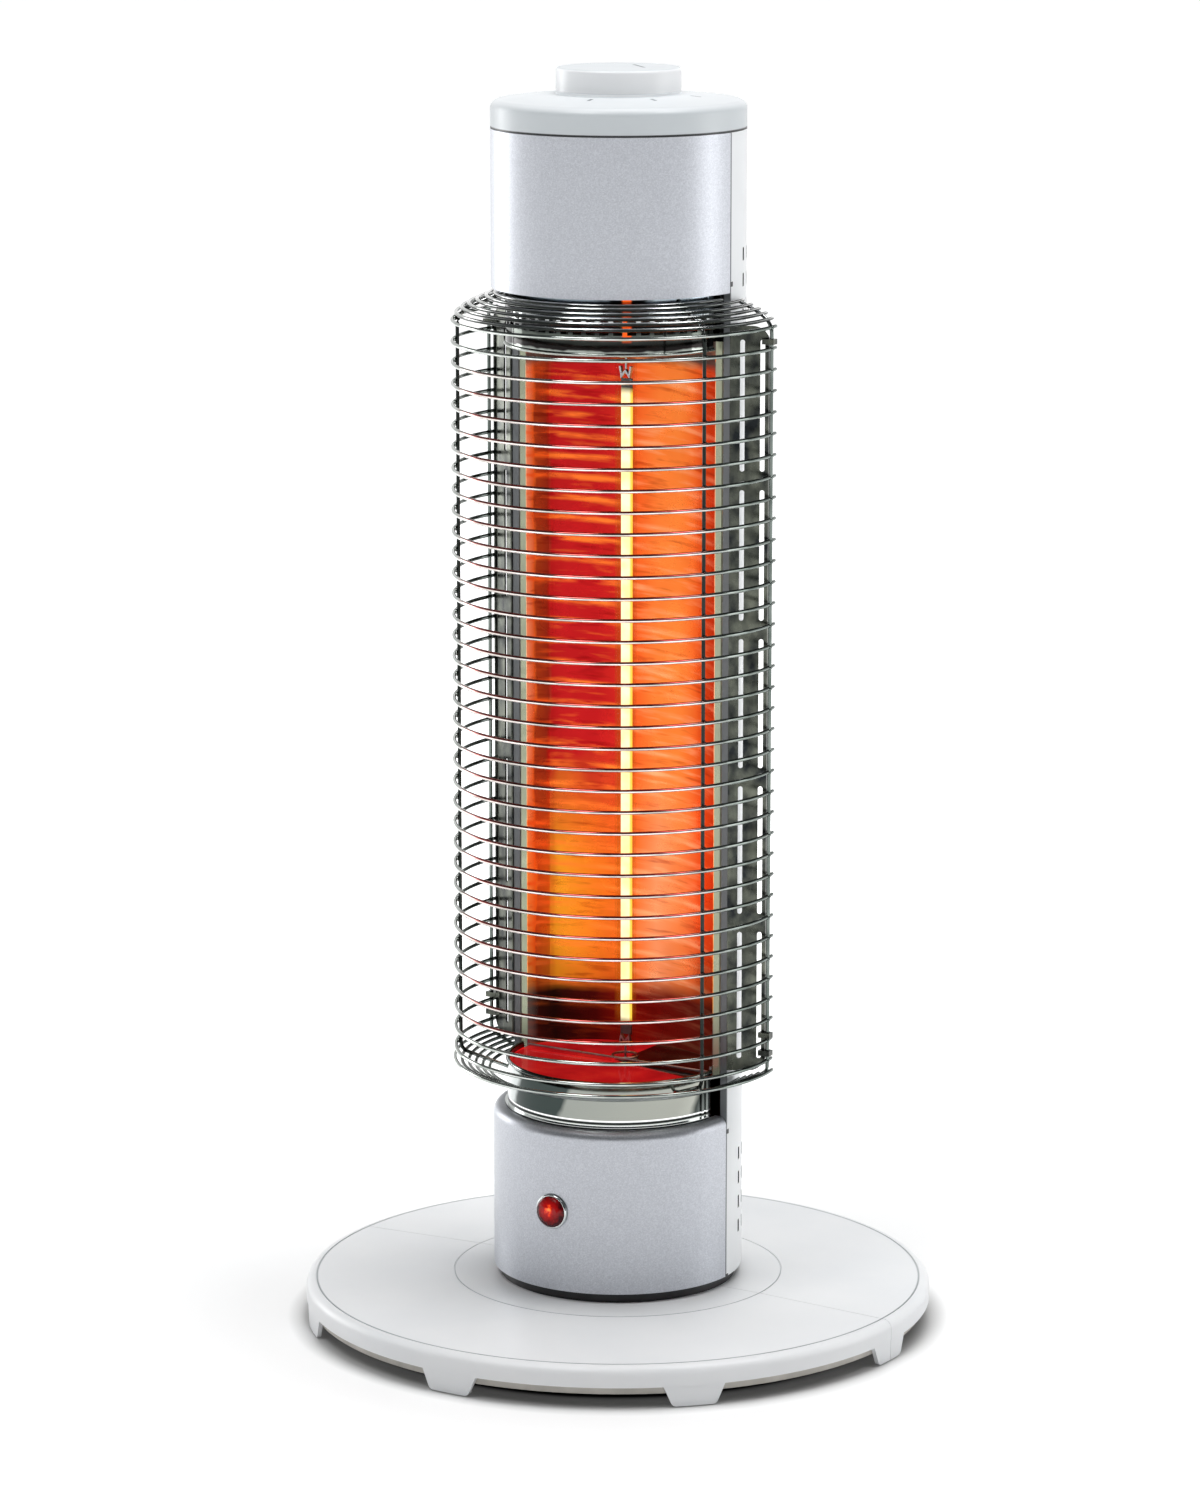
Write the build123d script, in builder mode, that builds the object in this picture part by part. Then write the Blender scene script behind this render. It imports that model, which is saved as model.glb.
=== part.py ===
from build123d import *
import math
import os

# Free-standing graphite heater: a round base in two halves, a slim column that swivels on it,
# and in the column an upright quartz tube with a graphite strip, in front of a mirror trough
# and behind a round wire guard. +Z is up, the front faces -Y, the origin is on the floor
# under the column's axis. A bearing is an angle about the axis, 0 at the front and positive
# towards the right-hand side (+X).

os.makedirs("parts", exist_ok=True)

# Overall sizes
base_radius = 145.0
column_radius = 57.5
lower_shell_height = 76.1
window_height = 378.3  # from the lower front shell to the upper one
upper_shell_height = 71.3
cap_height = 15.7
knob_radius = 28.1
knob_height = 10.6

# Main levels
column_bottom_z = 25.6
window_bottom_z = column_bottom_z + lower_shell_height
window_top_z = window_bottom_z + window_height
cap_bottom_z = window_top_z + upper_shell_height

# Fits and gaps
running_clearance = 0.06  # a shaft in its own bearing
seat_gap = 0.3  # loose fit between pieces that are screwed together
slide_gap = 0.1  # flat faces that slide on each other
contact_gap = 0.05  # a part resting on its seat
screw_clearance = 0.05  # screw shank in its pilot hole
seam_gap = 0.3  # visible seam between two mouldings

# Base mouldings
base_wall = 2.5
base_crown_z = 21.0
base_crown_radius = column_radius + 18.4
base_edge_radius = base_radius - 5.0
base_edge_drop = 1.7
rim_bottom_z = 9.8
rim_wall = 4.0
rim_round = 4.0
groove_width = 0.5
groove_depth = 0.4
tab_count = 8
tab_top_width = 28.5
tab_bottom_width = 20.0
tab_bottom_z = 0.6
tab_wall = 1.9
tab_round = 2.5

# Ballast plate, its screws and the feet
plate_thickness = 3.7
plate_inset = 2.5
ballast_screw_count = 8
ballast_screw_circle = base_radius - 35.0
boss_radius = 4.5
boss_inset = 6.0
foot_radius = 8.0
foot_circle = base_radius - 25.0
foot_count = 4

# Swivel
stop_pin_circle = column_radius - 12.5
swivel_ring_inner = stop_pin_circle - 9.0
swivel_ring_outer = column_radius - 3.0
swivel_plate_thickness = 2.5
swivel_plate_gap = 3.8  # from the plate's edge to the column's outer face
spigot_radius = 22.0
spigot_wall = 4.0
swivel_half_angle = 35.0
stop_pin_radius = 2.0
washer_thickness = 1.5
washer_radius = spigot_radius + 10.0
retainer_thickness = 1.6

# Small screws
screw_radius = 1.45
screw_head_radius = 2.8
screw_head_height = 1.4
slot_width = 0.7

# Tip-over switch
tip_switch_y = base_radius - 50.0
tip_switch_width = 26.0
tip_switch_depth = 15.0
tip_switch_height = 7.6
tip_switch_floor = 1.5
plunger_radius = 3.0
plunger_travel = 3.0
plunger_collar_radius = 4.4
plunger_collar_height = 1.0
plunger_bore_radius = 2.0
plunger_bore_bottom_z = 3.0
tip_spring_radius = 1.45
tip_spring_wire = 0.2
tip_spring_turns = 14
lead_radius = 1.2

# Column shells
front_wall = 2.2
rear_wall = 3.3
cover_edge_y = 1.2
shell_round = 5.0
neck_gap = 0.5
flange_thickness = 2.2
tongue_height = 12.0
tongue_wall = 0.8
tongue_sweep = 6.0
vent_width = 1.8
vent_height = 5.8
vent_pitch = 11.6
vent_rows = 4
vent_columns = 6
vent_first_bearing = 107.0
vent_step = 9.0
lower_vent_top_z = window_bottom_z - 21.1
upper_vent_top_z = window_top_z + 16.0

# Neck and cup, the two bright collars
collar_radius = column_radius - 6.5
collar_wall = 1.0
collar_half_angle = 87.5
collar_bead = 0.9
cup_lip_z = window_bottom_z + 21.1
cup_floor_z = window_bottom_z + 18.8
neck_lip_z = window_top_z - 25.2
neck_plate_z = window_top_z - 22.0
deck_thickness = 1.2
deck_gap = 3.6  # from a deck's edge to the column's outer face
neck_slot_count = 24
neck_slot_step = 6.9
neck_slot_width = 4.0
neck_slot_rows = ((window_top_z - 10.5, 2.8), (window_top_z - 15.3, 2.4))  # height, opening

# Reflector and heating tube
reflector_half_width = column_radius - 7.5
reflector_depth = column_radius - 24.5
reflector_wall = 0.8
reflector_mouth_y = 1.5
reflector_flange = 3.4
tube_y = 6.6
tube_radius = 5.0
tube_wall = 1.0
tube_bottom_z = cup_floor_z - 12.5
tube_top_z = neck_plate_z + 13.0
strip_width = 5.0
strip_thickness = 0.6
strip_bottom_z = cup_floor_z + 11.5
strip_top_z = neck_plate_z - 20.5
end_clip_height = 4.5
clip_lift = 1.0
holder_radius = tube_radius + 3.0
holder_depth = 16.0
holder_flange_width = 34.0
holder_flange_depth = 14.0
holder_flange_thickness = 3.0
holder_screw_x = holder_radius + 4.5

# Wire guard
ring_count = 36
ring_radius = column_radius + 17.4
ring_bottom_z = window_bottom_z + 27.3
ring_top_z = window_top_z - 15.0
ring_pitch = (ring_top_z - ring_bottom_z) / (ring_count - 1)
wire_radius = 1.0
wire_sides = 16  # flats that stand for the round section of the rings' wire
ring_half_angle = 100.4
end_rod_bearing = 96.3
front_rod_bearing = 62.6
weld_gap = 0.02
front_rod_inset = 2 * wire_radius + weld_gap
front_rod_foot_z = ring_bottom_z - 12.8
front_rod_head_z = ring_top_z + 13.35
cone_ring_count = 6
lower_cone_top_z = ring_bottom_z - 5.5
lower_cone_radius = ring_radius + 0.4
lower_cone_step = 3.2
lower_cone_drop = 1.15

# Slotted side panels
panel_bottom_z = window_bottom_z + 22.3
panel_top_z = window_top_z - 14.5
panel_wall = 0.8
panel_root = (column_radius + 0.6, 0.8)
panel_tip = (column_radius + 14.9, 9.2)
panel_fold = (column_radius + 14.2, 12.8)
panel_slot_rows = 5
panel_slot_pitch = (panel_top_z - panel_bottom_z - 3.5) / panel_slot_rows
panel_slot_length = panel_slot_pitch - 8.3
panel_slot_width = 2.1
panel_slot_middle_z = (panel_top_z + panel_bottom_z) / 2 - 0.25
panel_slot_columns = (5.2, 14.2)  # along the slant, from the root
panel_corner = 8.0
panel_flange_sweep = 9.0
panel_screw_bearing = 95.0
panel_screw_heights = (panel_bottom_z + 26.0, panel_slot_middle_z, panel_top_z - 25.5)
guard_tab_heights = (ring_bottom_z + 2.5, ring_bottom_z + ring_pitch + 1.3, ring_top_z - 7.5)
guard_tab_thickness = 2.4

# Lamp
lamp_z = column_bottom_z + 37.1
lamp_bezel_radius = 8.0
lamp_hole_radius = 6.4
lamp_lens_radius = 5.2
lamp_bezel_thickness = 2.0
lens_head_radius = 7.3
lens_head_height = 3.6

# Frames, switch and small electrical parts
frame_half_width = 22.0
frame_plate_y = column_radius - 13.3
frame_wall = 1.2
frame_flange = 20.0
frame_top_z = cap_bottom_z - 23.3
cap_boss_radius = 3.6
cap_boss_circle = column_radius - 17.5
switch_width = 26.0
switch_height = 19.8
bushing_radius = 4.5
shaft_radius = 3.0
gland_z = column_bottom_z + 12.4
gland_bore_radius = 3.6
cover_screw_heights = (
    column_bottom_z + 40.4,
    window_bottom_z + 3.3,
    window_top_z - 8.0,
    window_top_z + 32.0,
)
lead_spots = [(-12.0, frame_plate_y - 3.2), (12.0, frame_plate_y - 3.2)]
plate_screw_spots = [(-14.0, frame_plate_y - 10.2), (14.0, frame_plate_y - 10.2)]
deck_screw_spots = [(-18.0, frame_plate_y - 4.2), (18.0, frame_plate_y - 4.2)]

# Derived heights and radii
cap_top_z = cap_bottom_z + cap_height
knob_bottom_z = cap_top_z + 0.4
knob_top_z = knob_bottom_z + knob_height
rear_inner = column_radius - rear_wall
front_inner = column_radius - front_wall
base_underside_z = base_crown_z - base_wall
plate_bottom_z = rim_bottom_z - plate_thickness
swivel_ring_top_z = column_bottom_z - seam_gap
swivel_plate_z = swivel_ring_top_z + slide_gap
deck_radius = column_radius - deck_gap
cup_deck_z = cup_floor_z - deck_thickness


def round_about(radius, bearing):
    """Plan position at a radius and a bearing."""
    turn = math.radians(bearing)
    return (radius * math.sin(turn), -radius * math.cos(turn))


def upright_plane(bearing):
    """Plane through the axis: local x runs outwards at the bearing, local y runs up."""
    x, y = round_about(1.0, bearing)
    return Plane(origin=(0, 0, 0), x_dir=(x, y, 0), z_dir=(y, -x, 0))


def facing_plane(radius, bearing, z):
    """Plane square to the bearing, at a radius, whose normal points outwards."""
    x, y = round_about(1.0, bearing)
    return Plane(origin=(radius * x, radius * y, z), x_dir=(-y, x, 0), z_dir=(x, y, 0))


def ring_sector(inner, outer, bottom, top, first, last):
    """Part of a round wall, between two radii, two heights and two bearings."""
    with BuildPart() as sector:
        with BuildSketch(upright_plane(first)):
            with Locations(((inner + outer) / 2, (bottom + top) / 2)):
                Rectangle(outer - inner, top - bottom)
        revolve(axis=Axis.Z, revolution_arc=last - first)
    return sector.part


def slotted_screw(shank_radius, length, head_radius=screw_head_radius, head=screw_head_height):
    """Screw with its head's underside at the origin, the shank pointing down."""
    with BuildPart() as screw:
        with Locations((0, 0, -length / 2)):
            Cylinder(shank_radius, length)
        with Locations((0, 0, head / 2)):
            Cylinder(head_radius, head)
        fillet(screw.edges().filter_by(GeomType.CIRCLE).sort_by(Axis.Z)[-1], head * 0.45)
        with Locations((0, 0, head)):
            Box(head_radius * 1.6, slot_width, head, mode=Mode.SUBTRACT)
    return screw.part


def finish(builder, name):
    """Labels a finished piece and writes it to its own file."""
    builder.part.label = name
    export_step(builder.part, f"parts/{name}.step")


# Base mouldings: two half discs with a shallow cone on top, a rounded rim and eight skirt tabs.
tab_radius = base_radius - 0.2

with BuildPart() as skirt_tabs:
    for index in range(tab_count):
        tab_bearing = index * 360 / tab_count
        with BuildSketch(facing_plane(base_radius - 6.0, tab_bearing, rim_bottom_z)):
            with BuildLine():
                drop = rim_bottom_z - tab_bottom_z
                FilletPolyline(
                    (-tab_top_width / 2, 0.6),
                    (-tab_bottom_width / 2, -drop),
                    (tab_bottom_width / 2, -drop),
                    (tab_top_width / 2, 0.6),
                    radius=tab_round,
                )
                Line((tab_top_width / 2, 0.6), (-tab_top_width / 2, 0.6))
            make_face()
        extrude(amount=8.0)
    with BuildSketch(Plane.XY):
        Circle(tab_radius)
        Circle(tab_radius - tab_wall, mode=Mode.SUBTRACT)
    extrude(amount=2 * rim_bottom_z, mode=Mode.INTERSECT)


def base_half(side):
    """One half of the base; side is -1 for the front and +1 for the rear."""
    edge_z = base_crown_z - base_edge_drop
    hole = spigot_radius + running_clearance
    with BuildPart() as half:
        with BuildSketch(Plane.XZ):
            with BuildLine():
                Polyline(
                    (base_radius - rim_round, edge_z),
                    (base_edge_radius + groove_width, edge_z),
                    (base_edge_radius + groove_width, edge_z - groove_depth),
                    (base_edge_radius, edge_z - groove_depth),
                    (base_edge_radius, edge_z),
                    (base_crown_radius + groove_width, base_crown_z),
                    (base_crown_radius + groove_width, base_crown_z - groove_depth),
                    (base_crown_radius, base_crown_z - groove_depth),
                    (base_crown_radius, base_crown_z),
                    (hole, base_crown_z),
                    (hole, base_underside_z),
                    (base_crown_radius, base_underside_z),
                    (base_radius - rim_wall, edge_z - base_wall),
                    (base_radius - rim_wall, rim_bottom_z),
                    (base_radius, rim_bottom_z),
                    (base_radius, edge_z - rim_round),
                )
                RadiusArc(
                    (base_radius - rim_round, edge_z),
                    (base_radius, edge_z - rim_round),
                    rim_round,
                )
            make_face()
        revolve(axis=Axis.Z)
        add(skirt_tabs.part)
        with PolarLocations(ballast_screw_circle, ballast_screw_count, 180 / ballast_screw_count):
            with Locations((0, 0, rim_bottom_z)):
                Cylinder(
                    boss_radius,
                    boss_inset + 2.0,
                    align=(Align.CENTER, Align.CENTER, Align.MIN),
                )
                Cylinder(
                    screw_radius + screw_clearance,
                    boss_inset,
                    align=(Align.CENTER, Align.CENTER, Align.MIN),
                    mode=Mode.SUBTRACT,
                )
        with Locations((0, -side * (base_radius - seam_gap / 2), 0)):
            Box(3 * base_radius, 2 * base_radius, 3 * base_radius, mode=Mode.SUBTRACT)
    return half


base_front_half = base_half(-1)
finish(base_front_half, "base_front_half")

base_rear_half = base_half(1)
finish(base_rear_half, "base_rear_half")

# Ballast plate: a thick steel disc that closes the base and keeps the heater upright.
with BuildPart() as ballast_plate:
    with Locations((0, 0, plate_bottom_z)):
        Cylinder(
            base_radius - plate_inset,
            plate_thickness,
            align=(Align.CENTER, Align.CENTER, Align.MIN),
        )
    top_edges = ballast_plate.edges().filter_by(GeomType.CIRCLE)
    fillet(top_edges, 0.5)
    with PolarLocations(ballast_screw_circle, ballast_screw_count, 180 / ballast_screw_count):
        with Locations((0, 0, plate_bottom_z)):
            Cylinder(screw_radius + 0.2, 3 * plate_thickness, mode=Mode.SUBTRACT)
            Cylinder(
                screw_head_radius + 0.3,
                screw_head_height + 0.2,
                align=(Align.CENTER, Align.CENTER, Align.MIN),
                mode=Mode.SUBTRACT,
            )
    with Locations((0, tip_switch_y, plate_bottom_z)):
        Cylinder(plunger_radius + 0.4, 3 * plate_thickness, mode=Mode.SUBTRACT)
finish(ballast_plate, "ballast_plate")

# Ballast screws: pan heads sunk in the plate, shanks up into the bosses of both halves.
ballast_screw = slotted_screw(
    screw_radius,
    plate_thickness + boss_inset - screw_head_height - 0.7,
)
with BuildPart() as ballast_screws:
    for index in range(ballast_screw_count):
        spot = round_about(ballast_screw_circle, (index + 0.5) * 360 / ballast_screw_count)
        head_z = plate_bottom_z + screw_head_height + 0.2
        with Locations(Location((spot[0], spot[1], head_z), (180, 0, 0))):
            add(ballast_screw)
finish(ballast_screws, "ballast_screws")

# Rubber feet: four pads glued under the plate, which carry the heater.
with BuildPart() as rubber_feet:
    with PolarLocations(foot_circle, foot_count, 180 / foot_count):
        with Locations((0, 0, plate_bottom_z)):
            Cylinder(foot_radius, plate_bottom_z, align=(Align.CENTER, Align.CENTER, Align.MAX))
    fillet(rubber_feet.edges().group_by(Axis.Z)[0], 1.2)
finish(rubber_feet, "rubber_feet")

# Swivel ring: black plastic bearing ring on the base, with the arc slot that stops the swivel.
with BuildPart() as swivel_ring:
    with BuildSketch(Plane.XY.offset(base_crown_z)):
        Circle(swivel_ring_outer)
        Circle(swivel_ring_inner, mode=Mode.SUBTRACT)
        stop_arc = CenterArc(
            (0, 0),
            stop_pin_circle,
            90 - swivel_half_angle,
            2 * swivel_half_angle,
            mode=Mode.PRIVATE,
        )
        SlotArc(stop_arc, 2 * (stop_pin_radius + seat_gap), mode=Mode.SUBTRACT)
    extrude(amount=swivel_ring_top_z - base_crown_z)
finish(swivel_ring, "swivel_ring")

# Tip-over switch: a small box on the ballast plate whose sprung plunger feels the floor.
tip_switch_top_z = rim_bottom_z + tip_switch_height
tip_cavity_top_z = tip_switch_top_z - 1.0
collar_bottom_z = rim_bottom_z + tip_switch_floor + plunger_travel + slide_gap

with BuildPart() as tip_switch_body:
    with Locations((0, tip_switch_y, rim_bottom_z)):
        Box(
            tip_switch_width,
            tip_switch_depth,
            tip_switch_height,
            align=(Align.CENTER, Align.CENTER, Align.MIN),
        )
    fillet(tip_switch_body.edges().filter_by(Axis.Z), 1.5)
    with Locations((0, tip_switch_y, rim_bottom_z)):
        Cylinder(
            plunger_radius + running_clearance,
            2 * tip_switch_floor + 1.0,
            mode=Mode.SUBTRACT,
        )
    with Locations((0, tip_switch_y, rim_bottom_z + tip_switch_floor)):
        Cylinder(
            plunger_collar_radius + seat_gap,
            tip_cavity_top_z - rim_bottom_z - tip_switch_floor,
            align=(Align.CENTER, Align.CENTER, Align.MIN),
            mode=Mode.SUBTRACT,
        )
finish(tip_switch_body, "tip_switch_body")

# Plunger: a hollow pin with a collar, pressed in by the floor while the heater stands.
with BuildPart() as tip_plunger:
    with Locations((0, tip_switch_y, 0)):
        Cylinder(
            plunger_radius,
            collar_bottom_z + plunger_collar_height,
            align=(Align.CENTER, Align.CENTER, Align.MIN),
        )
    with Locations((0, tip_switch_y, collar_bottom_z)):
        Cylinder(
            plunger_collar_radius,
            plunger_collar_height,
            align=(Align.CENTER, Align.CENTER, Align.MIN),
        )
    fillet(tip_plunger.edges().sort_by(Axis.Z)[0], 0.8)
    with Locations((0, tip_switch_y, plunger_bore_bottom_z)):
        Cylinder(
            plunger_bore_radius,
            2 * collar_bottom_z,
            align=(Align.CENTER, Align.CENTER, Align.MIN),
            mode=Mode.SUBTRACT,
        )
finish(tip_plunger, "tip_plunger")

# Plunger spring: a fine coil between the plunger's bore and the roof of the switch.
spring_bottom_z = plunger_bore_bottom_z + tip_spring_wire + contact_gap
spring_height = tip_cavity_top_z - tip_spring_wire - contact_gap - spring_bottom_z
with BuildPart() as tip_switch_spring:
    with BuildLine():
        coil = Helix(
            pitch=spring_height / tip_spring_turns,
            height=spring_height,
            radius=tip_spring_radius,
            center=(0, tip_switch_y, spring_bottom_z),
        )
    with BuildSketch(Plane(origin=coil @ 0, z_dir=coil % 0)):
        Circle(tip_spring_wire)
    sweep()
finish(tip_switch_spring, "tip_switch_spring")

# Tip switch lead: runs over the ballast plate and up the swivel's axis, where it can twist.
lead_floor_z = rim_bottom_z + lead_radius + seat_gap
splice_bottom_z = column_bottom_z + 19.4
tip_lead_start = tip_switch_y - tip_switch_depth / 2
with BuildPart() as tip_switch_lead:
    with BuildLine():
        route = FilletPolyline(
            (0, tip_lead_start, lead_floor_z),
            (0, 0, lead_floor_z),
            (0, 0, splice_bottom_z),
            radius=8.0,
        )
    with BuildSketch(Plane(origin=route @ 0, z_dir=route % 0)):
        Circle(lead_radius)
    sweep()
finish(tip_switch_lead, "tip_switch_lead")

# Swivel plate: pressed steel floor of the column with a hollow spigot and the stop pin.
spigot_bottom_z = base_underside_z - slide_gap - washer_thickness
retainer_screw_circle = spigot_radius - spigot_wall / 2

with BuildPart() as swivel_plate:
    with BuildSketch(Plane.XY.offset(swivel_plate_z)):
        Circle(column_radius - swivel_plate_gap)
    extrude(amount=swivel_plate_thickness)
    with BuildSketch(Plane.XY.offset(spigot_bottom_z)):
        Circle(spigot_radius)
    extrude(amount=swivel_plate_z - spigot_bottom_z)
    with BuildSketch(Plane.XY.offset(spigot_bottom_z)):
        Circle(spigot_radius - spigot_wall)
    extrude(amount=column_bottom_z, mode=Mode.SUBTRACT)
    with Locations((0, stop_pin_circle, base_crown_z + 1.0)):
        Cylinder(
            stop_pin_radius,
            swivel_plate_z - base_crown_z,
            align=(Align.CENTER, Align.CENTER, Align.MIN),
        )
    with Locations([(x, y, swivel_plate_z) for x, y in plate_screw_spots]):
        Cylinder(screw_radius + screw_clearance, 3 * swivel_plate_thickness, mode=Mode.SUBTRACT)
    with PolarLocations(retainer_screw_circle, 3):
        with Locations((0, 0, spigot_bottom_z)):
            Cylinder(1.25, 12.0, mode=Mode.SUBTRACT)
finish(swivel_plate, "swivel_plate")

# Swivel washer: nylon ring round the spigot, under the base mouldings.
with BuildPart() as swivel_washer:
    with BuildSketch(Plane.XY.offset(spigot_bottom_z)):
        Circle(washer_radius)
        Circle(spigot_radius + seat_gap, mode=Mode.SUBTRACT)
    extrude(amount=washer_thickness)
finish(swivel_washer, "swivel_washer")

# Swivel retainer: steel ring screwed under the spigot, which keeps the column on the base.
retainer_bottom_z = spigot_bottom_z - retainer_thickness
with BuildPart() as swivel_retainer:
    with BuildSketch(Plane.XY.offset(retainer_bottom_z)):
        Circle(washer_radius - 1.0)
        Circle(spigot_radius - spigot_wall - 0.5, mode=Mode.SUBTRACT)
        with PolarLocations(retainer_screw_circle, 3):
            Circle(1.4, mode=Mode.SUBTRACT)
    extrude(amount=retainer_thickness)
finish(swivel_retainer, "swivel_retainer")

retainer_screw = slotted_screw(1.2, 5.5, head_radius=2.2, head=1.0)
with BuildPart() as retainer_screws:
    for index in range(3):
        turn = math.radians(index * 120)
        spot = (
            retainer_screw_circle * math.cos(turn),
            retainer_screw_circle * math.sin(turn),
            retainer_bottom_z,
        )
        with Locations(Location(spot, (180, 0, 0))):
            add(retainer_screw)
finish(retainer_screws, "retainer_screws")

# Lead splice: closed-end cap on the column's side of the tip switch lead.
with BuildPart() as lead_splice:
    with Locations((0, 0, splice_bottom_z + seat_gap)):
        Cone(3.6, 2.6, 14.0, align=(Align.CENTER, Align.CENTER, Align.MIN))
    fillet(lead_splice.edges().sort_by(Axis.Z)[-1], 1.0)
finish(lead_splice, "lead_splice")


def front_shell(bottom, top, flange_at_top):
    """Half-round front shell with one inward flange, and tongues that hook behind the cover."""
    neck = collar_radius + neck_gap
    edge_z = top if flange_at_top else bottom
    inside_z = edge_z - flange_thickness if flange_at_top else edge_z + flange_thickness
    far_z = bottom if flange_at_top else top
    middle = (bottom + top) / 2
    reach = (top - bottom) / 2 - tongue_height
    tongue_outer = rear_inner - seat_gap
    tongue_inner = tongue_outer - tongue_wall
    hooks = []
    for tongue_z in (middle - reach, middle + reach):
        span = (tongue_z - tongue_height / 2, tongue_z + tongue_height / 2)
        for start in (84.0, -84.0 - tongue_sweep):
            root = (tongue_inner, front_inner + 0.4)
            hooks.append(ring_sector(*root, *span, start, start + tongue_sweep))
        hooks.append(ring_sector(tongue_inner, tongue_outer, *span, 86.0, 98.0))
        hooks.append(ring_sector(tongue_inner, tongue_outer, *span, -98.0, -86.0))
    with BuildPart() as shell:
        with BuildSketch(Plane.XZ):
            with BuildLine():
                Polyline(
                    (column_radius, far_z),
                    (column_radius, edge_z),
                    (neck, edge_z),
                    (neck, inside_z),
                    (front_inner, inside_z),
                    (front_inner, far_z),
                    close=True,
                )
            make_face()
        revolve(axis=Axis.Z)
        if flange_at_top:
            outer_edge = shell.edges().filter_by(GeomType.CIRCLE).group_by(Axis.Z)[-1]
            fillet(outer_edge.sort_by(SortBy.RADIUS)[-1], min(shell_round, flange_thickness * 1.9))
        with Locations((0, column_radius + cover_edge_y - seam_gap, (bottom + top) / 2)):
            Box(
                3 * column_radius,
                2 * column_radius,
                2 * (top - bottom),
                mode=Mode.SUBTRACT,
            )
        add(hooks)
    return shell


# Lower front shell: half-round painted shell with the lamp's hole and a rounded shoulder.
lower_shell_blank = front_shell(column_bottom_z, window_bottom_z, True)
with BuildPart() as lower_front_shell:
    add(lower_shell_blank.part)
    with BuildSketch(Plane(origin=(0, 0, lamp_z), x_dir=(1, 0, 0), z_dir=(0, -1, 0))):
        Circle(lamp_hole_radius)
    extrude(amount=2 * column_radius, mode=Mode.SUBTRACT)
    seat_y = -column_radius + 0.7
    with BuildSketch(Plane(origin=(0, seat_y, lamp_z), x_dir=(1, 0, 0), z_dir=(0, -1, 0))):
        Circle(lamp_bezel_radius + seat_gap)
    extrude(amount=10.0, mode=Mode.SUBTRACT)
finish(lower_front_shell, "lower_front_shell")

# Upper front shell: the same section above the window.
upper_front_shell = front_shell(window_top_z, cap_bottom_z - seam_gap, False)
finish(upper_front_shell, "upper_front_shell")

# Rear cover: one white moulding over the whole height, with vents, screw wells and the gland hole.
cover_height = cap_bottom_z - seam_gap - column_bottom_z
well_radius = 5.2
well_floor_y = column_radius - 5.5
boss_end_y = frame_plate_y + frame_wall + contact_gap

with BuildPart() as rear_cover:
    with BuildSketch(Plane.XY.offset(column_bottom_z)):
        Circle(column_radius)
        Circle(rear_inner, mode=Mode.SUBTRACT)
        with Locations((0, cover_edge_y - 2 * column_radius)):
            Rectangle(3 * column_radius, 4 * column_radius, mode=Mode.SUBTRACT)
    extrude(amount=cover_height)
    vents = []
    for top_z in (lower_vent_top_z, upper_vent_top_z):
        for row in range(vent_rows):
            for column in range(vent_columns):
                for side in (-1, 1):
                    bearing = side * (vent_first_bearing + column * vent_step)
                    vents.append(facing_plane(rear_inner - 2.0, bearing, top_z - row * vent_pitch))
    for vent in vents:
        with BuildSketch(vent):
            SlotOverall(vent_height, vent_width, rotation=90)
    extrude(amount=rear_wall + 4.0, mode=Mode.SUBTRACT)
    for height in cover_screw_heights:
        with BuildSketch(Plane(origin=(0, boss_end_y, height), x_dir=(1, 0, 0), z_dir=(0, 1, 0))):
            Circle(well_radius)
        extrude(until=Until.NEXT)
        with BuildSketch(Plane(origin=(0, well_floor_y, height), x_dir=(1, 0, 0), z_dir=(0, 1, 0))):
            Circle(screw_head_radius + seat_gap)
        extrude(amount=10.0, mode=Mode.SUBTRACT)
        with BuildSketch(Plane(origin=(0, boss_end_y - 1, height), x_dir=(1, 0, 0), z_dir=(0, 1, 0))):
            Circle(screw_radius + 0.2)
        extrude(amount=12.0, mode=Mode.SUBTRACT)
    gland_body_radius = gland_bore_radius + 2.7
    with BuildSketch(Plane(origin=(0, 40, gland_z), x_dir=(1, 0, 0), z_dir=(0, 1, 0))):
        Circle(gland_body_radius + seat_gap)
    extrude(amount=30.0, mode=Mode.SUBTRACT)
    for side in (-1, 1):
        for height in panel_screw_heights:
            with BuildSketch(facing_plane(rear_inner - 2.0, side * panel_screw_bearing, height)):
                Circle(1.2 + screw_clearance)
    extrude(amount=rear_wall + 4.0, mode=Mode.SUBTRACT)
finish(rear_cover, "rear_cover")

# Cover screws: four, deep in their wells at the back, into the two frames.
cover_screw = slotted_screw(screw_radius, well_floor_y - frame_plate_y + 3.0)
with BuildPart() as cover_screws:
    for height in cover_screw_heights:
        with Locations(Location((0, well_floor_y, height), (-90, 0, 0))):
            add(cover_screw)
finish(cover_screws, "cover_screws")

# Cord gland: a threaded bushing with an outer flange and an inner nut, for the mains cord.
gland_outer_y = column_radius + 3.5
gland_inner_y = rear_inner - 5.0
with BuildPart() as cord_gland:
    with BuildSketch(Plane(origin=(0, gland_inner_y, gland_z), x_dir=(1, 0, 0), z_dir=(0, 1, 0))):
        Circle(gland_body_radius)
    extrude(amount=gland_outer_y - gland_inner_y)
    flange_y = column_radius + contact_gap
    with BuildSketch(Plane(origin=(0, flange_y, gland_z), x_dir=(1, 0, 0), z_dir=(0, 1, 0))):
        Circle(gland_body_radius + 2.6)
    extrude(amount=2.0)
    fillet(cord_gland.edges().filter_by(GeomType.CIRCLE).sort_by(Axis.Y)[-1], 0.8)
    with BuildSketch(Plane(origin=(0, 0, gland_z), x_dir=(1, 0, 0), z_dir=(0, 1, 0))):
        Circle(gland_bore_radius)
    extrude(amount=2 * column_radius, mode=Mode.SUBTRACT)
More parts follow.
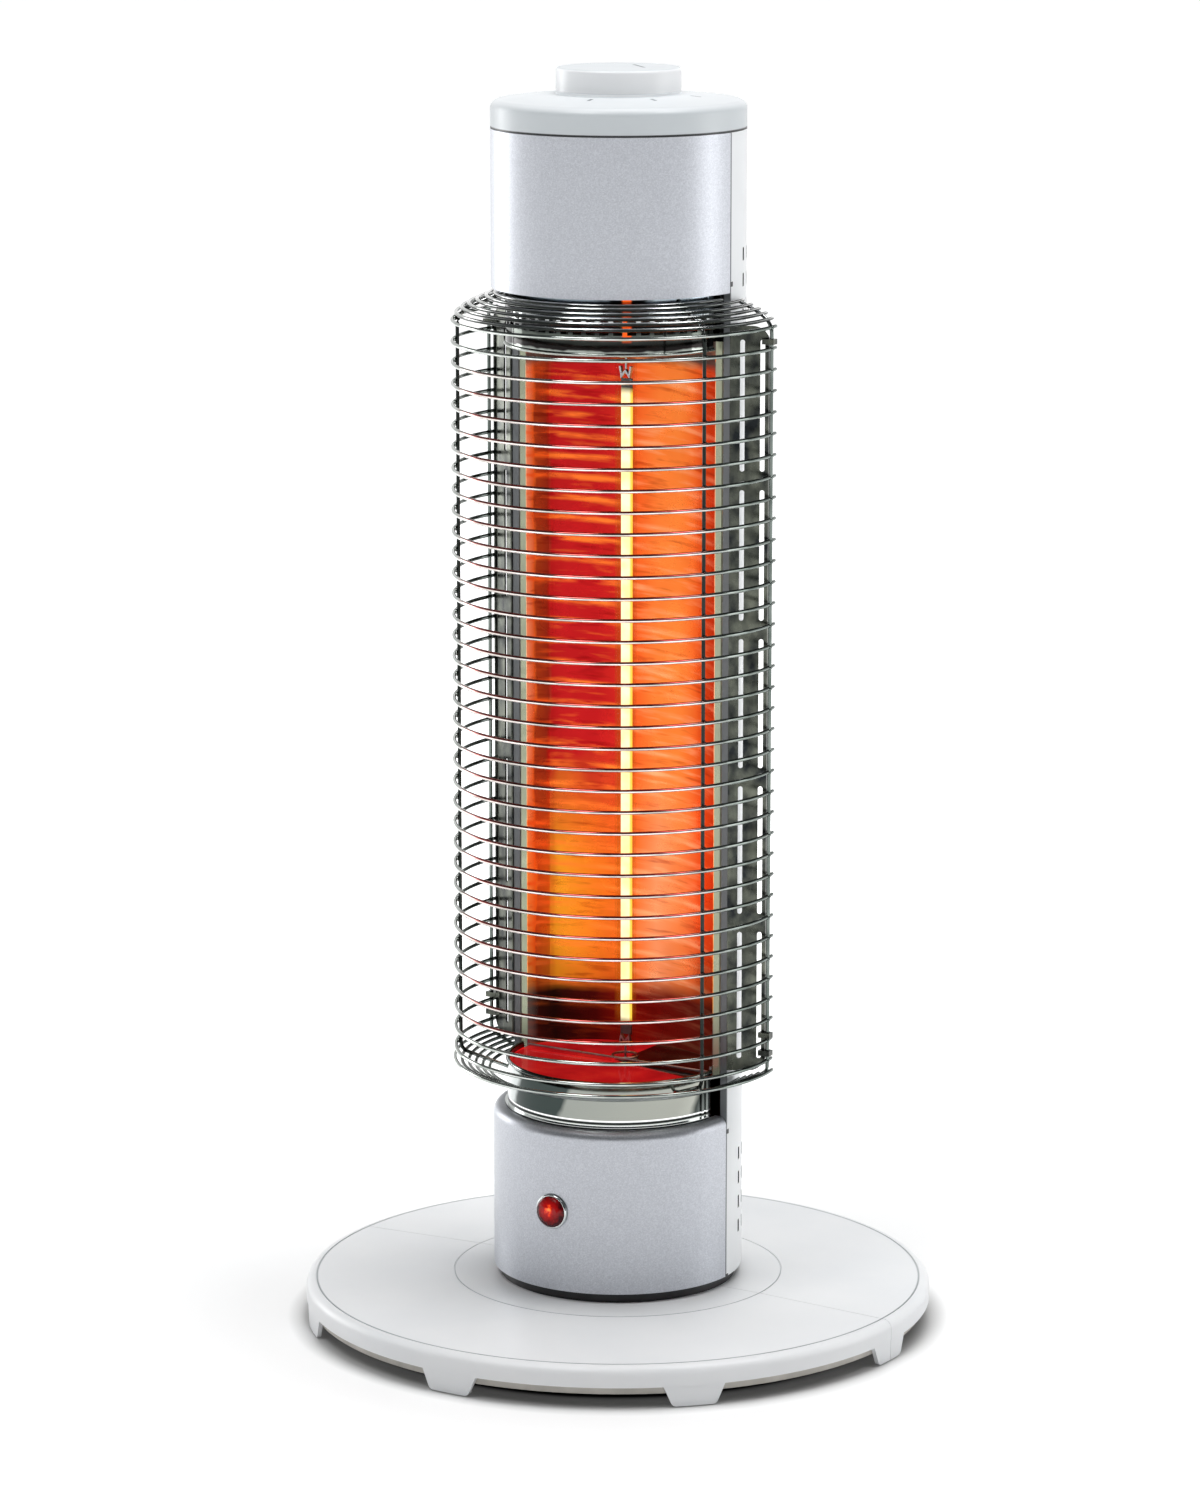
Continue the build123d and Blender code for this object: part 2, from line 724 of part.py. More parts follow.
finish(cord_gland, "cord_gland")

with BuildPart() as gland_nut:
    nut_y = rear_inner - 4.0
    with BuildSketch(Plane(origin=(0, nut_y, gland_z), x_dir=(1, 0, 0), z_dir=(0, 1, 0))):
        RegularPolygon(gland_body_radius + 3.0, 6)
        Circle(gland_body_radius + screw_clearance, mode=Mode.SUBTRACT)
    extrude(amount=3.0)
finish(gland_nut, "gland_nut")


def deck_outline():
    """Round deck that is narrower in front of the seam than behind it."""
    with BuildSketch() as outline:
        Circle(deck_radius)
        with Locations((0, cover_edge_y - seam_gap - 2 * column_radius)):
            Rectangle(3 * column_radius, 4 * column_radius, mode=Mode.SUBTRACT)
        Circle(collar_radius - collar_wall / 2)
    return outline.sketch



def deck_holes():
    """Holes in a deck for the tube, its holder's screws, the leads and the frame's screws."""
    with BuildSketch() as holes:
        with Locations((0, tube_y)):
            Circle(tube_radius + 0.6)
        with Locations(lead_spots):
            Circle(lead_radius + 0.6)
        with Locations(deck_screw_spots):
            Circle(screw_radius + screw_clearance)
        with Locations((-holder_screw_x, tube_y), (holder_screw_x, tube_y)):
            Circle(1.25)
    return holes.sketch


# Cup: chrome-plated collar in front of the tube's foot, with a rolled lip, ribbed ends and a floor.
deck_shape = deck_outline()
deck_cuts = deck_holes()
collar_inner = collar_radius - collar_wall
collar_foot_z = window_bottom_z - 4.0
collar_sweep = (-collar_half_angle, collar_half_angle)
cup_walls = [
    ring_sector(collar_inner, collar_radius, collar_foot_z, cup_lip_z, *collar_sweep),
    ring_sector(
        collar_radius - 0.2,
        collar_radius + 1.3,
        window_bottom_z,
        window_bottom_z + 0.9,
        -84.0,
        84.0,
    ),
]
for first in (-collar_half_angle, collar_half_angle - 1.2):
    fold = (collar_inner - 3.0, collar_inner + 0.2, collar_foot_z, cup_floor_z)
    cup_walls.append(ring_sector(*fold, first, first + 1.2))
for rib in (80.0, 83.5):
    for first in (-rib - 0.8, rib - 0.8):
        rib_wall = (collar_radius - 0.2, collar_radius + 0.7)
        rib_span = (window_bottom_z + 0.9, cup_lip_z - 1.2)
        cup_walls.append(ring_sector(*rib_wall, *rib_span, first, first + 1.6))
with BuildPart() as bottom_collar:
    add(cup_walls)
    with BuildSketch(upright_plane(-collar_half_angle)):
        with Locations((collar_radius, cup_lip_z)):
            Circle(collar_bead)
    revolve(axis=Axis.Z, revolution_arc=2 * collar_half_angle)
    with BuildSketch(Plane.XY.offset(cup_deck_z)):
        add(deck_shape)
        add(deck_cuts, mode=Mode.SUBTRACT)
    extrude(amount=deck_thickness)
    for bearing in (-front_rod_bearing, front_rod_bearing):
        with BuildSketch(facing_plane(collar_radius - 4.0, bearing, front_rod_foot_z + 0.6)):
            Circle(wire_radius + 0.6)
    extrude(amount=8.0, mode=Mode.SUBTRACT)
finish(bottom_collar, "bottom_collar")

# Neck: the same collar upside down above the window, with two rows of small vents.
neck_top_z = window_top_z + flange_thickness + contact_gap
neck_end_z = neck_top_z + 1.0
neck_walls = [
    ring_sector(collar_inner, collar_radius, neck_lip_z, neck_end_z, *collar_sweep),
    ring_sector(collar_inner, front_inner - 1.0, neck_top_z, neck_end_z, -82.0, 82.0),
]
for first in (-collar_half_angle, collar_half_angle - 1.2):
    fold = (collar_inner - 3.0, collar_inner + 0.2, neck_plate_z, neck_end_z)
    neck_walls.append(ring_sector(*fold, first, first + 1.2))
with BuildPart() as top_collar:
    add(neck_walls)
    with BuildSketch(upright_plane(-collar_half_angle)):
        with Locations((collar_radius - 0.1, neck_lip_z)):
            Circle(collar_bead)
    revolve(axis=Axis.Z, revolution_arc=2 * collar_half_angle)
    with BuildSketch(Plane.XY.offset(neck_plate_z)):
        add(deck_shape)
        add(deck_cuts, mode=Mode.SUBTRACT)
    extrude(amount=deck_thickness)
    for row_z, slot_height in neck_slot_rows:
        for index in range(neck_slot_count):
            bearing = (index - (neck_slot_count - 1) / 2) * neck_slot_step
            with BuildSketch(facing_plane(collar_inner - 2.0, bearing, row_z)):
                Rectangle(neck_slot_width, slot_height)
    for bearing in (-front_rod_bearing, front_rod_bearing):
        with BuildSketch(facing_plane(collar_inner - 2.0, bearing, front_rod_head_z - 0.85)):
            Circle(wire_radius + 0.6)
    extrude(amount=6.0, mode=Mode.SUBTRACT)
finish(top_collar, "top_collar")

# Reflector: one bent sheet, a deep polished trough with two narrow flat flanges.
with BuildPart() as reflector:
    with BuildSketch(Plane.XY.offset(cup_floor_z)):
        with Locations((0, reflector_mouth_y)):
            Ellipse(reflector_half_width + reflector_wall, reflector_depth + reflector_wall)
            Ellipse(reflector_half_width, reflector_depth, mode=Mode.SUBTRACT)
        with Locations((0, reflector_mouth_y - 2 * column_radius)):
            Rectangle(4 * column_radius, 4 * column_radius, mode=Mode.SUBTRACT)
        flange_middle = reflector_half_width + reflector_flange / 2
        with Locations(
            (-flange_middle, reflector_mouth_y + reflector_wall / 2 - 0.4),
            (flange_middle, reflector_mouth_y + reflector_wall / 2 - 0.4),
        ):
            Rectangle(reflector_flange, reflector_wall)
    extrude(amount=neck_plate_z - cup_floor_z)
finish(reflector, "reflector")

# Quartz tube: clear tube with closed ends, from holder to holder.
with BuildPart() as quartz_tube:
    with BuildSketch(Plane.XY.offset(tube_bottom_z)):
        with Locations((0, tube_y)):
            Circle(tube_radius)
    extrude(amount=tube_top_z - tube_bottom_z)
    with BuildSketch(Plane.XY.offset(tube_bottom_z + 2.0)):
        with Locations((0, tube_y)):
            Circle(tube_radius - tube_wall)
    extrude(amount=tube_top_z - tube_bottom_z - 4.0, mode=Mode.SUBTRACT)
    with BuildSketch(Plane.XY.offset(tube_bottom_z - 1.0)):
        with Locations((0, tube_y)):
            Circle(0.6)
    extrude(amount=tube_top_z - tube_bottom_z + 2.0, mode=Mode.SUBTRACT)
finish(quartz_tube, "quartz_tube")

# Graphite element: the flat strip that glows.
with BuildPart() as graphite_element:
    with BuildSketch(Plane.XY.offset(strip_bottom_z)):
        with Locations((0, tube_y)):
            Rectangle(strip_width, strip_thickness)
    extrude(amount=strip_top_z - strip_bottom_z)
finish(graphite_element, "graphite_element")

# Element clips: folded W-shaped spring clips that hold the strip's two ends.
with BuildPart() as element_clips:
    for foot_z, turn in ((strip_top_z, 1), (strip_bottom_z, -1)):
        clip_z = foot_z + turn * clip_lift
        clip_plane = Plane(origin=(0, tube_y + 0.9, clip_z), x_dir=(1, 0, 0), z_dir=(0, -1, 0))
        with BuildSketch(clip_plane):
            with BuildLine():
                Polyline(
                    (-2.9, turn * end_clip_height),
                    (-2.0, 0),
                    (0, turn * end_clip_height * 0.55),
                    (2.0, 0),
                    (2.9, turn * end_clip_height),
                )
            trace(line_width=0.9)
    extrude(amount=1.8)
finish(element_clips, "element_clips")

# Element pins: the metal leads that leave the tube through its sealed ends.
pin_overlap = end_clip_height * 0.75 + clip_lift
with BuildPart() as element_pins:
    with Locations((0, tube_y, strip_top_z + pin_overlap)):
        Cylinder(
            0.5,
            tube_top_z + 8.0 - strip_top_z - pin_overlap,
            align=(Align.CENTER, Align.CENTER, Align.MIN),
        )
    with Locations((0, tube_y, strip_bottom_z - pin_overlap)):
        Cylinder(
            0.5,
            strip_bottom_z - pin_overlap - tube_bottom_z + 8.0,
            align=(Align.CENTER, Align.CENTER, Align.MAX),
        )
finish(element_pins, "element_pins")


def tube_holder(seat_z, turn, tube_end_z):
    """Ceramic cap on a deck's far side; turn is -1 for the lower and +1 for the upper one."""
    toward = Align.MIN if turn > 0 else Align.MAX
    with BuildPart() as holder:
        with Locations((0, tube_y, seat_z)):
            Cylinder(holder_radius, holder_depth, align=(Align.CENTER, Align.CENTER, toward))
            Box(
                holder_flange_width,
                holder_flange_depth,
                holder_flange_thickness,
                align=(Align.CENTER, Align.CENTER, toward),
            )
        fillet(holder.edges().filter_by(Axis.Z).filter_by(GeomType.LINE), 1.0)
        with Locations((0, tube_y, seat_z)):
            Cylinder(
                tube_radius + 0.15,
                abs(tube_end_z - seat_z) + 0.3,
                align=(Align.CENTER, Align.CENTER, toward),
                mode=Mode.SUBTRACT,
            )
            Cylinder(
                1.2,
                holder_depth * 2,
                align=(Align.CENTER, Align.CENTER, toward),
                mode=Mode.SUBTRACT,
            )
        with Locations((-holder_screw_x, tube_y, seat_z), (holder_screw_x, tube_y, seat_z)):
            Cylinder(1.4, 4 * holder_flange_thickness, mode=Mode.SUBTRACT)
    return holder


lower_tube_holder = tube_holder(cup_deck_z, -1, tube_bottom_z)
finish(lower_tube_holder, "lower_tube_holder")

neck_deck_top_z = neck_plate_z + deck_thickness
upper_tube_holder = tube_holder(neck_deck_top_z, 1, tube_top_z)
finish(upper_tube_holder, "upper_tube_holder")

holder_screw = slotted_screw(1.2, 4.0, head_radius=2.3, head=1.2)
with BuildPart() as holder_screws:
    for x in (-holder_screw_x, holder_screw_x):
        low = Location((x, tube_y, cup_deck_z - holder_flange_thickness), (180, 0, 0))
        with Locations(low):
            add(holder_screw)
        with Locations((x, tube_y, neck_deck_top_z + holder_flange_thickness)):
            add(holder_screw)
finish(holder_screws, "holder_screws")

# Tube retaining wire: spans the trough's mouth at the cup and loops round the tube's foot.
retainer_wire = 0.6
retainer_wire_z = cup_floor_z + 1.3
with BuildPart() as tube_retaining_wire:
    loop_radius = tube_radius + 0.3 + retainer_wire
    with BuildSketch(Plane(origin=(0, tube_y, 0), x_dir=(1, 0, 0), z_dir=(0, -1, 0))):
        with Locations((loop_radius, retainer_wire_z)):
            Circle(retainer_wire)
    revolve(axis=Axis((0, tube_y, 0), (0, 0, 1)))
    arm_y = tube_y - loop_radius - 0.4
    arm_end = reflector_half_width - 0.6
    with BuildSketch(Plane(origin=(-arm_end, arm_y, retainer_wire_z), z_dir=(1, 0, 0))):
        Circle(retainer_wire)
    extrude(amount=2 * arm_end)
    for side in (-1, 1):
        with Locations((side * arm_end, arm_y, retainer_wire_z + 1.1)):
            Cylinder(retainer_wire, 3.4)
finish(tube_retaining_wire, "tube_retaining_wire")

# Frames: bent steel plates that tie the swivel plate, the decks, the rear cover and the cap together.
with BuildPart() as lower_frame:
    lower_frame_bottom = swivel_plate_z + swivel_plate_thickness
    lower_frame_height = cup_deck_z - lower_frame_bottom
    with Locations((0, frame_plate_y, lower_frame_bottom)):
        Box(
            2 * frame_half_width,
            frame_wall,
            lower_frame_height,
            align=(Align.CENTER, Align.MIN, Align.MIN),
        )
    for flange_z in (lower_frame_bottom, cup_deck_z - frame_wall):
        with Locations((0, frame_plate_y + frame_wall, flange_z)):
            Box(
                2 * frame_half_width,
                frame_flange,
                frame_wall,
                align=(Align.CENTER, Align.MAX, Align.MIN),
            )
    with Locations([(x, y, lower_frame_bottom) for x, y in plate_screw_spots]):
        Cylinder(screw_radius + 0.2, 3 * frame_wall, mode=Mode.SUBTRACT)
    with Locations([(x, y, cup_deck_z) for x, y in deck_screw_spots]):
        Cylinder(screw_radius + 0.2, 3 * frame_wall, mode=Mode.SUBTRACT)
    with Locations([(x, y, cup_deck_z) for x, y in lead_spots]):
        Cylinder(lead_radius + 0.6, 3 * frame_wall, mode=Mode.SUBTRACT)
    for height in cover_screw_heights[:2]:
        with Locations(Location((0, frame_plate_y, height), (90, 0, 0))):
            Cylinder(screw_radius + screw_clearance, 6.0, mode=Mode.SUBTRACT)
finish(lower_frame, "lower_frame")

frame_disc_z = frame_top_z - frame_wall
with BuildPart() as upper_frame:
    with Locations((0, frame_plate_y, neck_deck_top_z)):
        Box(
            2 * frame_half_width,
            frame_wall,
            frame_top_z - neck_deck_top_z,
            align=(Align.CENTER, Align.MIN, Align.MIN),
        )
    with Locations((0, frame_plate_y + frame_wall, neck_deck_top_z)):
        Box(
            2 * frame_half_width,
            frame_flange,
            frame_wall,
            align=(Align.CENTER, Align.MAX, Align.MIN),
        )
    with BuildSketch(Plane.XY.offset(frame_disc_z)):
        Circle(rear_inner - 1.5)
        with Locations(lead_spots):
            Circle(lead_radius + 0.6, mode=Mode.SUBTRACT)
        with PolarLocations(cap_boss_circle, 3, 90):
            Circle(screw_radius + 0.2, mode=Mode.SUBTRACT)
    extrude(amount=frame_wall)
    with Locations([(x, y, neck_deck_top_z) for x, y in deck_screw_spots]):
        Cylinder(screw_radius + 0.2, 3 * frame_wall, mode=Mode.SUBTRACT)
    with Locations([(x, y, neck_deck_top_z) for x, y in lead_spots]):
        Cylinder(lead_radius + 0.6, 3 * frame_wall, mode=Mode.SUBTRACT)
    for height in cover_screw_heights[2:]:
        with Locations(Location((0, frame_plate_y, height), (90, 0, 0))):
            Cylinder(screw_radius + screw_clearance, 6.0, mode=Mode.SUBTRACT)
finish(upper_frame, "upper_frame")

# Frame screws: two into the swivel plate, two into each deck.
plate_screw = slotted_screw(screw_radius, frame_wall + swivel_plate_thickness - 0.2)
deck_screw = slotted_screw(screw_radius, frame_wall + deck_thickness + 1.5)
with BuildPart() as frame_screws:
    for x, y in plate_screw_spots:
        with Locations((x, y, lower_frame_bottom + frame_wall)):
            add(plate_screw)
    for x, y in deck_screw_spots:
        with Locations(Location((x, y, cup_deck_z - frame_wall), (180, 0, 0))):
            add(deck_screw)
        with Locations((x, y, neck_deck_top_z + frame_wall)):
            add(deck_screw)
finish(frame_screws, "frame_screws")

# Terminal block: ceramic block on the lower frame where the cord's wires end.
block_bottom_z = window_bottom_z - 29.7
block_height = 15.0
with BuildPart() as terminal_block:
    with Locations((0, frame_plate_y, block_bottom_z)):
        Box(34.0, 12.0, block_height, align=(Align.CENTER, Align.MAX, Align.MIN))
    fillet(terminal_block.edges().filter_by(Axis.Z), 1.0)
    with Locations([(x, frame_plate_y - 11.0, block_bottom_z + block_height / 2) for x in (-11, 0, 11)]):
        Box(7.0, 6.0, 9.0, mode=Mode.SUBTRACT)
finish(terminal_block, "terminal_block")

with BuildPart() as terminal_screws:
    for x in (-11, 0, 11):
        spot = (x, frame_plate_y - 8.0, block_bottom_z + block_height / 2)
        with Locations(Location(spot, (90, 0, 0))):
            Cylinder(2.2, 3.0, align=(Align.CENTER, Align.CENTER, Align.MIN))
            with Locations((0, 0, 3.0)):
                Box(4.0, slot_width, 1.4, mode=Mode.SUBTRACT)
finish(terminal_screws, "terminal_screws")

# Rectifier: the diode that halves the power on the low setting, flat on the lower frame.
with BuildPart() as rectifier_diode:
    with Locations((0, frame_plate_y, window_bottom_z - 8.7)):
        Box(10.0, 4.4, 9.0, align=(Align.CENTER, Align.MAX, Align.MIN))
    fillet(rectifier_diode.edges().filter_by(Axis.Z), 0.6)
finish(rectifier_diode, "rectifier_diode")

# Thermal cut-off: round bimetal switch on the upper deck.
cutoff_spot = (-26.0, frame_plate_y - frame_flange - 12.2)
with BuildPart() as thermal_cutoff:
    with Locations((*cutoff_spot, neck_deck_top_z)):
        Cylinder(8.0, 6.0, align=(Align.CENTER, Align.CENTER, Align.MIN))
    with Locations((*cutoff_spot, neck_deck_top_z + 6.0)):
        Cylinder(6.0, 3.0, align=(Align.CENTER, Align.CENTER, Align.MIN))
        with Locations((-4.0, 0, 3.0), (4.0, 0, 3.0)):
            Box(0.8, 5.0, 6.0, align=(Align.CENTER, Align.CENTER, Align.MIN))
finish(thermal_cutoff, "thermal_cutoff")

# Internal leads: two risers behind the trough, one to the tube's foot and one to its head.
block_top_z = block_bottom_z + block_height
switch_bottom_z = cap_bottom_z + 10.0 - switch_height
pin_low_z = tube_bottom_z - 8.0
pin_high_z = tube_top_z + 8.0
lead_routes = [
    (
        (x, y - 2.0, block_top_z + 0.2),
        (x, y, block_top_z + 16.0),
        (x, y, frame_top_z + 4.0),
        (x / 2, 6.0, frame_top_z + 4.0),
        (x / 2, 6.0, switch_bottom_z - 0.2),
    )
    for x, y in lead_spots
] + [
    (
        (0, tube_y, pin_low_z - 0.2),
        (0, tube_y, pin_low_z - 8.0),
        (0, frame_plate_y - 9.0, pin_low_z - 8.0),
        (0, frame_plate_y - 9.0, block_top_z + 0.2),
    ),
    (
        (0, tube_y, pin_high_z + 0.2),
        (0, tube_y, pin_high_z + 6.0),
        (cutoff_spot[0] + 4.0, cutoff_spot[1], pin_high_z + 6.0),
        (cutoff_spot[0] + 4.0, cutoff_spot[1], neck_deck_top_z + 15.2),
    ),
]
lead_bends = (4.0, 4.0, 2.0, 2.0)
with BuildPart() as internal_leads:
    for points, bend in zip(lead_routes, lead_bends):
        with BuildLine():
            lead_path = FilletPolyline(*points, radius=bend)
        with BuildSketch(Plane(origin=lead_path @ 0, z_dir=lead_path % 0)):
            Circle(lead_radius)
        sweep(path=lead_path)
finish(internal_leads, "internal_leads")

# Top cap: shallow domed lid with a spigot ring inside and three screw bosses.
cap_ceiling_z = cap_bottom_z + 10.0
with BuildPart() as top_cap:
    with BuildSketch(Plane.XZ):
        with BuildLine():
            rim_start = (column_radius - 3.4, cap_top_z - 3.2)
            ThreePointArc((0, cap_top_z), (column_radius * 0.55, cap_top_z - 0.9), rim_start)
            RadiusArc(rim_start, (column_radius, cap_top_z - 6.8), 4.2)
            Polyline(
                (column_radius, cap_top_z - 6.8),
                (column_radius, cap_bottom_z),
                (rear_inner + 0.4, cap_bottom_z),
                (rear_inner + 0.4, cap_bottom_z + 1.5),
                (rear_inner - seat_gap, cap_bottom_z + 1.5),
                (rear_inner - seat_gap, cap_bottom_z - 4.0),
                (rear_inner - 2.2, cap_bottom_z - 4.0),
                (rear_inner - 2.2, cap_ceiling_z),
                (0, cap_ceiling_z),
                (0, cap_top_z),
            )
        make_face()
    revolve(axis=Axis.Z)
    with PolarLocations(cap_boss_circle, 3, 90):
        with Locations((0, 0, frame_top_z)):
            Cylinder(
                cap_boss_radius,
                cap_ceiling_z - frame_top_z + 0.5,
                align=(Align.CENTER, Align.CENTER, Align.MIN),
            )
            Cylinder(
                screw_radius + screw_clearance,
                12.0,
                align=(Align.CENTER, Align.CENTER, Align.MIN),
                mode=Mode.SUBTRACT,
            )
    with Locations((0, 0, cap_top_z)):
        Cylinder(bushing_radius + 0.2, 30.0, mode=Mode.SUBTRACT)
finish(top_cap, "top_cap")

cap_screw = slotted_screw(screw_radius, 9.0)
with BuildPart() as cap_screws:
    for index in range(3):
        turn = math.radians(90 + index * 120)
        spot = (cap_boss_circle * math.cos(turn), cap_boss_circle * math.sin(turn), frame_disc_z)
        with Locations(Location(spot, (180, 0, 0))):
            add(cap_screw)
finish(cap_screws, "cap_screws")

# Rotary switch: square body under the cap with a threaded bushing through it.
with BuildPart() as rotary_switch:
    with Locations((0, 0, cap_ceiling_z)):
        Box(
            switch_width,
            switch_width,
            switch_height,
            align=(Align.CENTER, Align.CENTER, Align.MAX),
        )
    fillet(rotary_switch.edges().filter_by(Axis.Z), 2.0)
    with Locations((0, 0, cap_ceiling_z)):
        Cylinder(
            bushing_radius,
            cap_top_z - cap_ceiling_z + 3.2,
            align=(Align.CENTER, Align.CENTER, Align.MIN),
        )
    with Locations((0, 0, cap_ceiling_z - 12.0)):
        Cylinder(
            shaft_radius + running_clearance,
            40.0,
            align=(Align.CENTER, Align.CENTER, Align.MIN),
            mode=Mode.SUBTRACT,
        )
finish(rotary_switch, "rotary_switch")

with BuildPart() as switch_nut:
    with BuildSketch(Plane.XY.offset(cap_top_z + contact_gap)):
        RegularPolygon(7.5, 6)
        Circle(bushing_radius + screw_clearance, mode=Mode.SUBTRACT)
    extrude(amount=2.4)
finish(switch_nut, "switch_nut")

# Switch shaft: turns with the knob.
with BuildPart() as switch_shaft:
    with Locations((0, 0, cap_ceiling_z - 11.5)):
        Cylinder(
            shaft_radius,
            knob_top_z - 2.8 - cap_ceiling_z + 11.5,
            align=(Align.CENTER, Align.CENTER, Align.MIN),
        )
    with Locations((0, -shaft_radius - 0.2 + 1.2, knob_top_z - 2.8)):
        Box(
            2 * shaft_radius,
            2.4,
            4.8,
            align=(Align.CENTER, Align.MAX, Align.MAX),
            mode=Mode.SUBTRACT,
        )
finish(switch_shaft, "switch_shaft")

# Control knob: low round knob, hollow underneath, with a hub that fits the shaft's flat.
knob_wall = 2.4
pointer_start = (-1.0, 14.4)
pointer_end = (13.3, 0.3)
pointer_width = 1.5
pointer_depth = 0.4
pointer_run = (pointer_end[0] - pointer_start[0], pointer_end[1] - pointer_start[1])
pointer_length = math.hypot(*pointer_run)
pointer_turn = math.degrees(math.atan2(pointer_run[1], pointer_run[0]))
pointer_middle = ((pointer_start[0] + pointer_end[0]) / 2, (pointer_start[1] + pointer_end[1]) / 2)
with BuildPart() as control_knob:
    with Locations((0, 0, knob_bottom_z)):
        Cylinder(knob_radius, knob_height, align=(Align.CENTER, Align.CENTER, Align.MIN))
    fillet(control_knob.edges().filter_by(GeomType.CIRCLE).sort_by(Axis.Z)[-1], 1.4)
    with Locations((0, 0, knob_bottom_z)):
        Cylinder(
            knob_radius - knob_wall,
            knob_height - knob_wall,
            align=(Align.CENTER, Align.CENTER, Align.MIN),
            mode=Mode.SUBTRACT,
        )
    with BuildSketch(Plane.XY.offset(cap_top_z + 3.4)):
        Circle(6.2)
    extrude(amount=knob_top_z - knob_wall - cap_top_z - 3.4 + 0.5)
    with BuildSketch(Plane.XY.offset(cap_top_z + 3.0)):
        Circle(shaft_radius + 0.03)
    extrude(amount=knob_top_z - 2.7 - cap_top_z - 3.0, mode=Mode.SUBTRACT)
    with BuildSketch(Plane.XY.offset(knob_top_z)):
        with Locations(pointer_middle):
            SlotOverall(pointer_length, pointer_width, rotation=pointer_turn)
    extrude(amount=-pointer_depth, mode=Mode.SUBTRACT)
finish(control_knob, "control_knob")

# Knob pointer: a grey inlay in the knob's top.
with BuildPart() as knob_pointer:
    with BuildSketch(Plane.XY.offset(knob_top_z - pointer_depth)):
        with Locations(pointer_middle):
            SlotOverall(pointer_length, pointer_width, rotation=pointer_turn)
    extrude(amount=pointer_depth)
finish(knob_pointer, "knob_pointer")

# Power lamp: bezel through the front shell, red lens, bulb, base and nut.
lamp_face_y = -column_radius + 0.7


def lamp_plane(y):
    """Plane square to the lamp's axis at a depth, with its normal to the front."""
    return Plane(origin=(0, y, lamp_z), x_dir=(1, 0, 0), z_dir=(0, -1, 0))


with BuildPart() as lamp_bezel:
    with BuildSketch(lamp_plane(lamp_face_y - contact_gap)):
        Circle(lamp_bezel_radius)
    extrude(amount=lamp_bezel_thickness)
    fillet(lamp_bezel.edges().filter_by(GeomType.CIRCLE).sort_by(Axis.Y)[0], 0.6)
    with BuildSketch(lamp_plane(lamp_face_y + 14.0)):
        Circle(lamp_hole_radius - 0.2)
    extrude(amount=14.2)
    with BuildSketch(lamp_plane(lamp_face_y + 20.0)):
        Circle(lamp_lens_radius + 0.1)
    extrude(amount=30.0, mode=Mode.SUBTRACT)
finish(lamp_bezel, "lamp_bezel")

# The lens has a stem in the bezel and a domed head that covers all but the bezel's rim.
lens_seat_y = lamp_face_y - lamp_bezel_thickness - 2 * contact_gap
with BuildPart() as lamp_lens:
    with BuildSketch(lamp_plane(lamp_face_y + 1.0)):
        Circle(lamp_lens_radius)
    extrude(amount=lamp_face_y + 1.0 - lens_seat_y)
    with BuildSketch(lamp_plane(lens_seat_y)):
        Circle(lens_head_radius)
    extrude(amount=lens_head_height)
    fillet(lamp_lens.edges().filter_by(GeomType.CIRCLE).sort_by(Axis.Y)[0], 2.8)
finish(lamp_lens, "lamp_lens")

with BuildPart() as lamp_bulb:
    with BuildSketch(lamp_plane(lamp_face_y + 10.0)):
        Circle(2.6)
    extrude(amount=8.5)
    fillet(lamp_bulb.edges().filter_by(GeomType.CIRCLE).sort_by(Axis.Y)[0], 2.0)
finish(lamp_bulb, "lamp_bulb")

with BuildPart() as lamp_base:
    with BuildSketch(lamp_plane(lamp_face_y + 16.0)):
        Circle(lamp_lens_radius)
    extrude(amount=5.8)
    with Locations((-2.0, lamp_face_y + 16.0, lamp_z), (2.0, lamp_face_y + 16.0, lamp_z)):
        Box(0.8, 5.0, 2.4, align=(Align.CENTER, Align.MIN, Align.CENTER))
finish(lamp_base, "lamp_base")

# The nut's six corners bear on the inside of the curved shell.
lamp_nut_radius = 9.2
lamp_nut_thickness = 2.2
lamp_nut_front_y = contact_gap - math.sqrt(front_inner**2 - lamp_nut_radius**2)
with BuildPart() as lamp_nut:
    with BuildSketch(lamp_plane(lamp_nut_front_y + lamp_nut_thickness)):
        RegularPolygon(lamp_nut_radius, 6)
        Circle(lamp_hole_radius - 0.2 + screw_clearance, mode=Mode.SUBTRACT)
    extrude(amount=lamp_nut_thickness)
finish(lamp_nut, "lamp_nut")

# Side panels: polished slotted sheets that stand out from the rear cover's edges to the guard.
slant = (panel_tip[0] - panel_root[0], panel_tip[1] - panel_root[1])
slant_length = math.hypot(*slant)
slant_x = (slant[0] / slant_length, slant[1] / slant_length, 0)
slant_normal = (slant_x[1], -slant_x[0], 0)
panel_height = panel_top_z - panel_bottom_z

flange_inner = column_radius + 0.2
flange_outer = flange_inner + panel_wall
flange_first = 90.6
panel_flange = ring_sector(
    flange_inner,
    flange_outer,
    panel_bottom_z,
    panel_top_z,
    flange_first,
    flange_first + panel_flange_sweep,
)

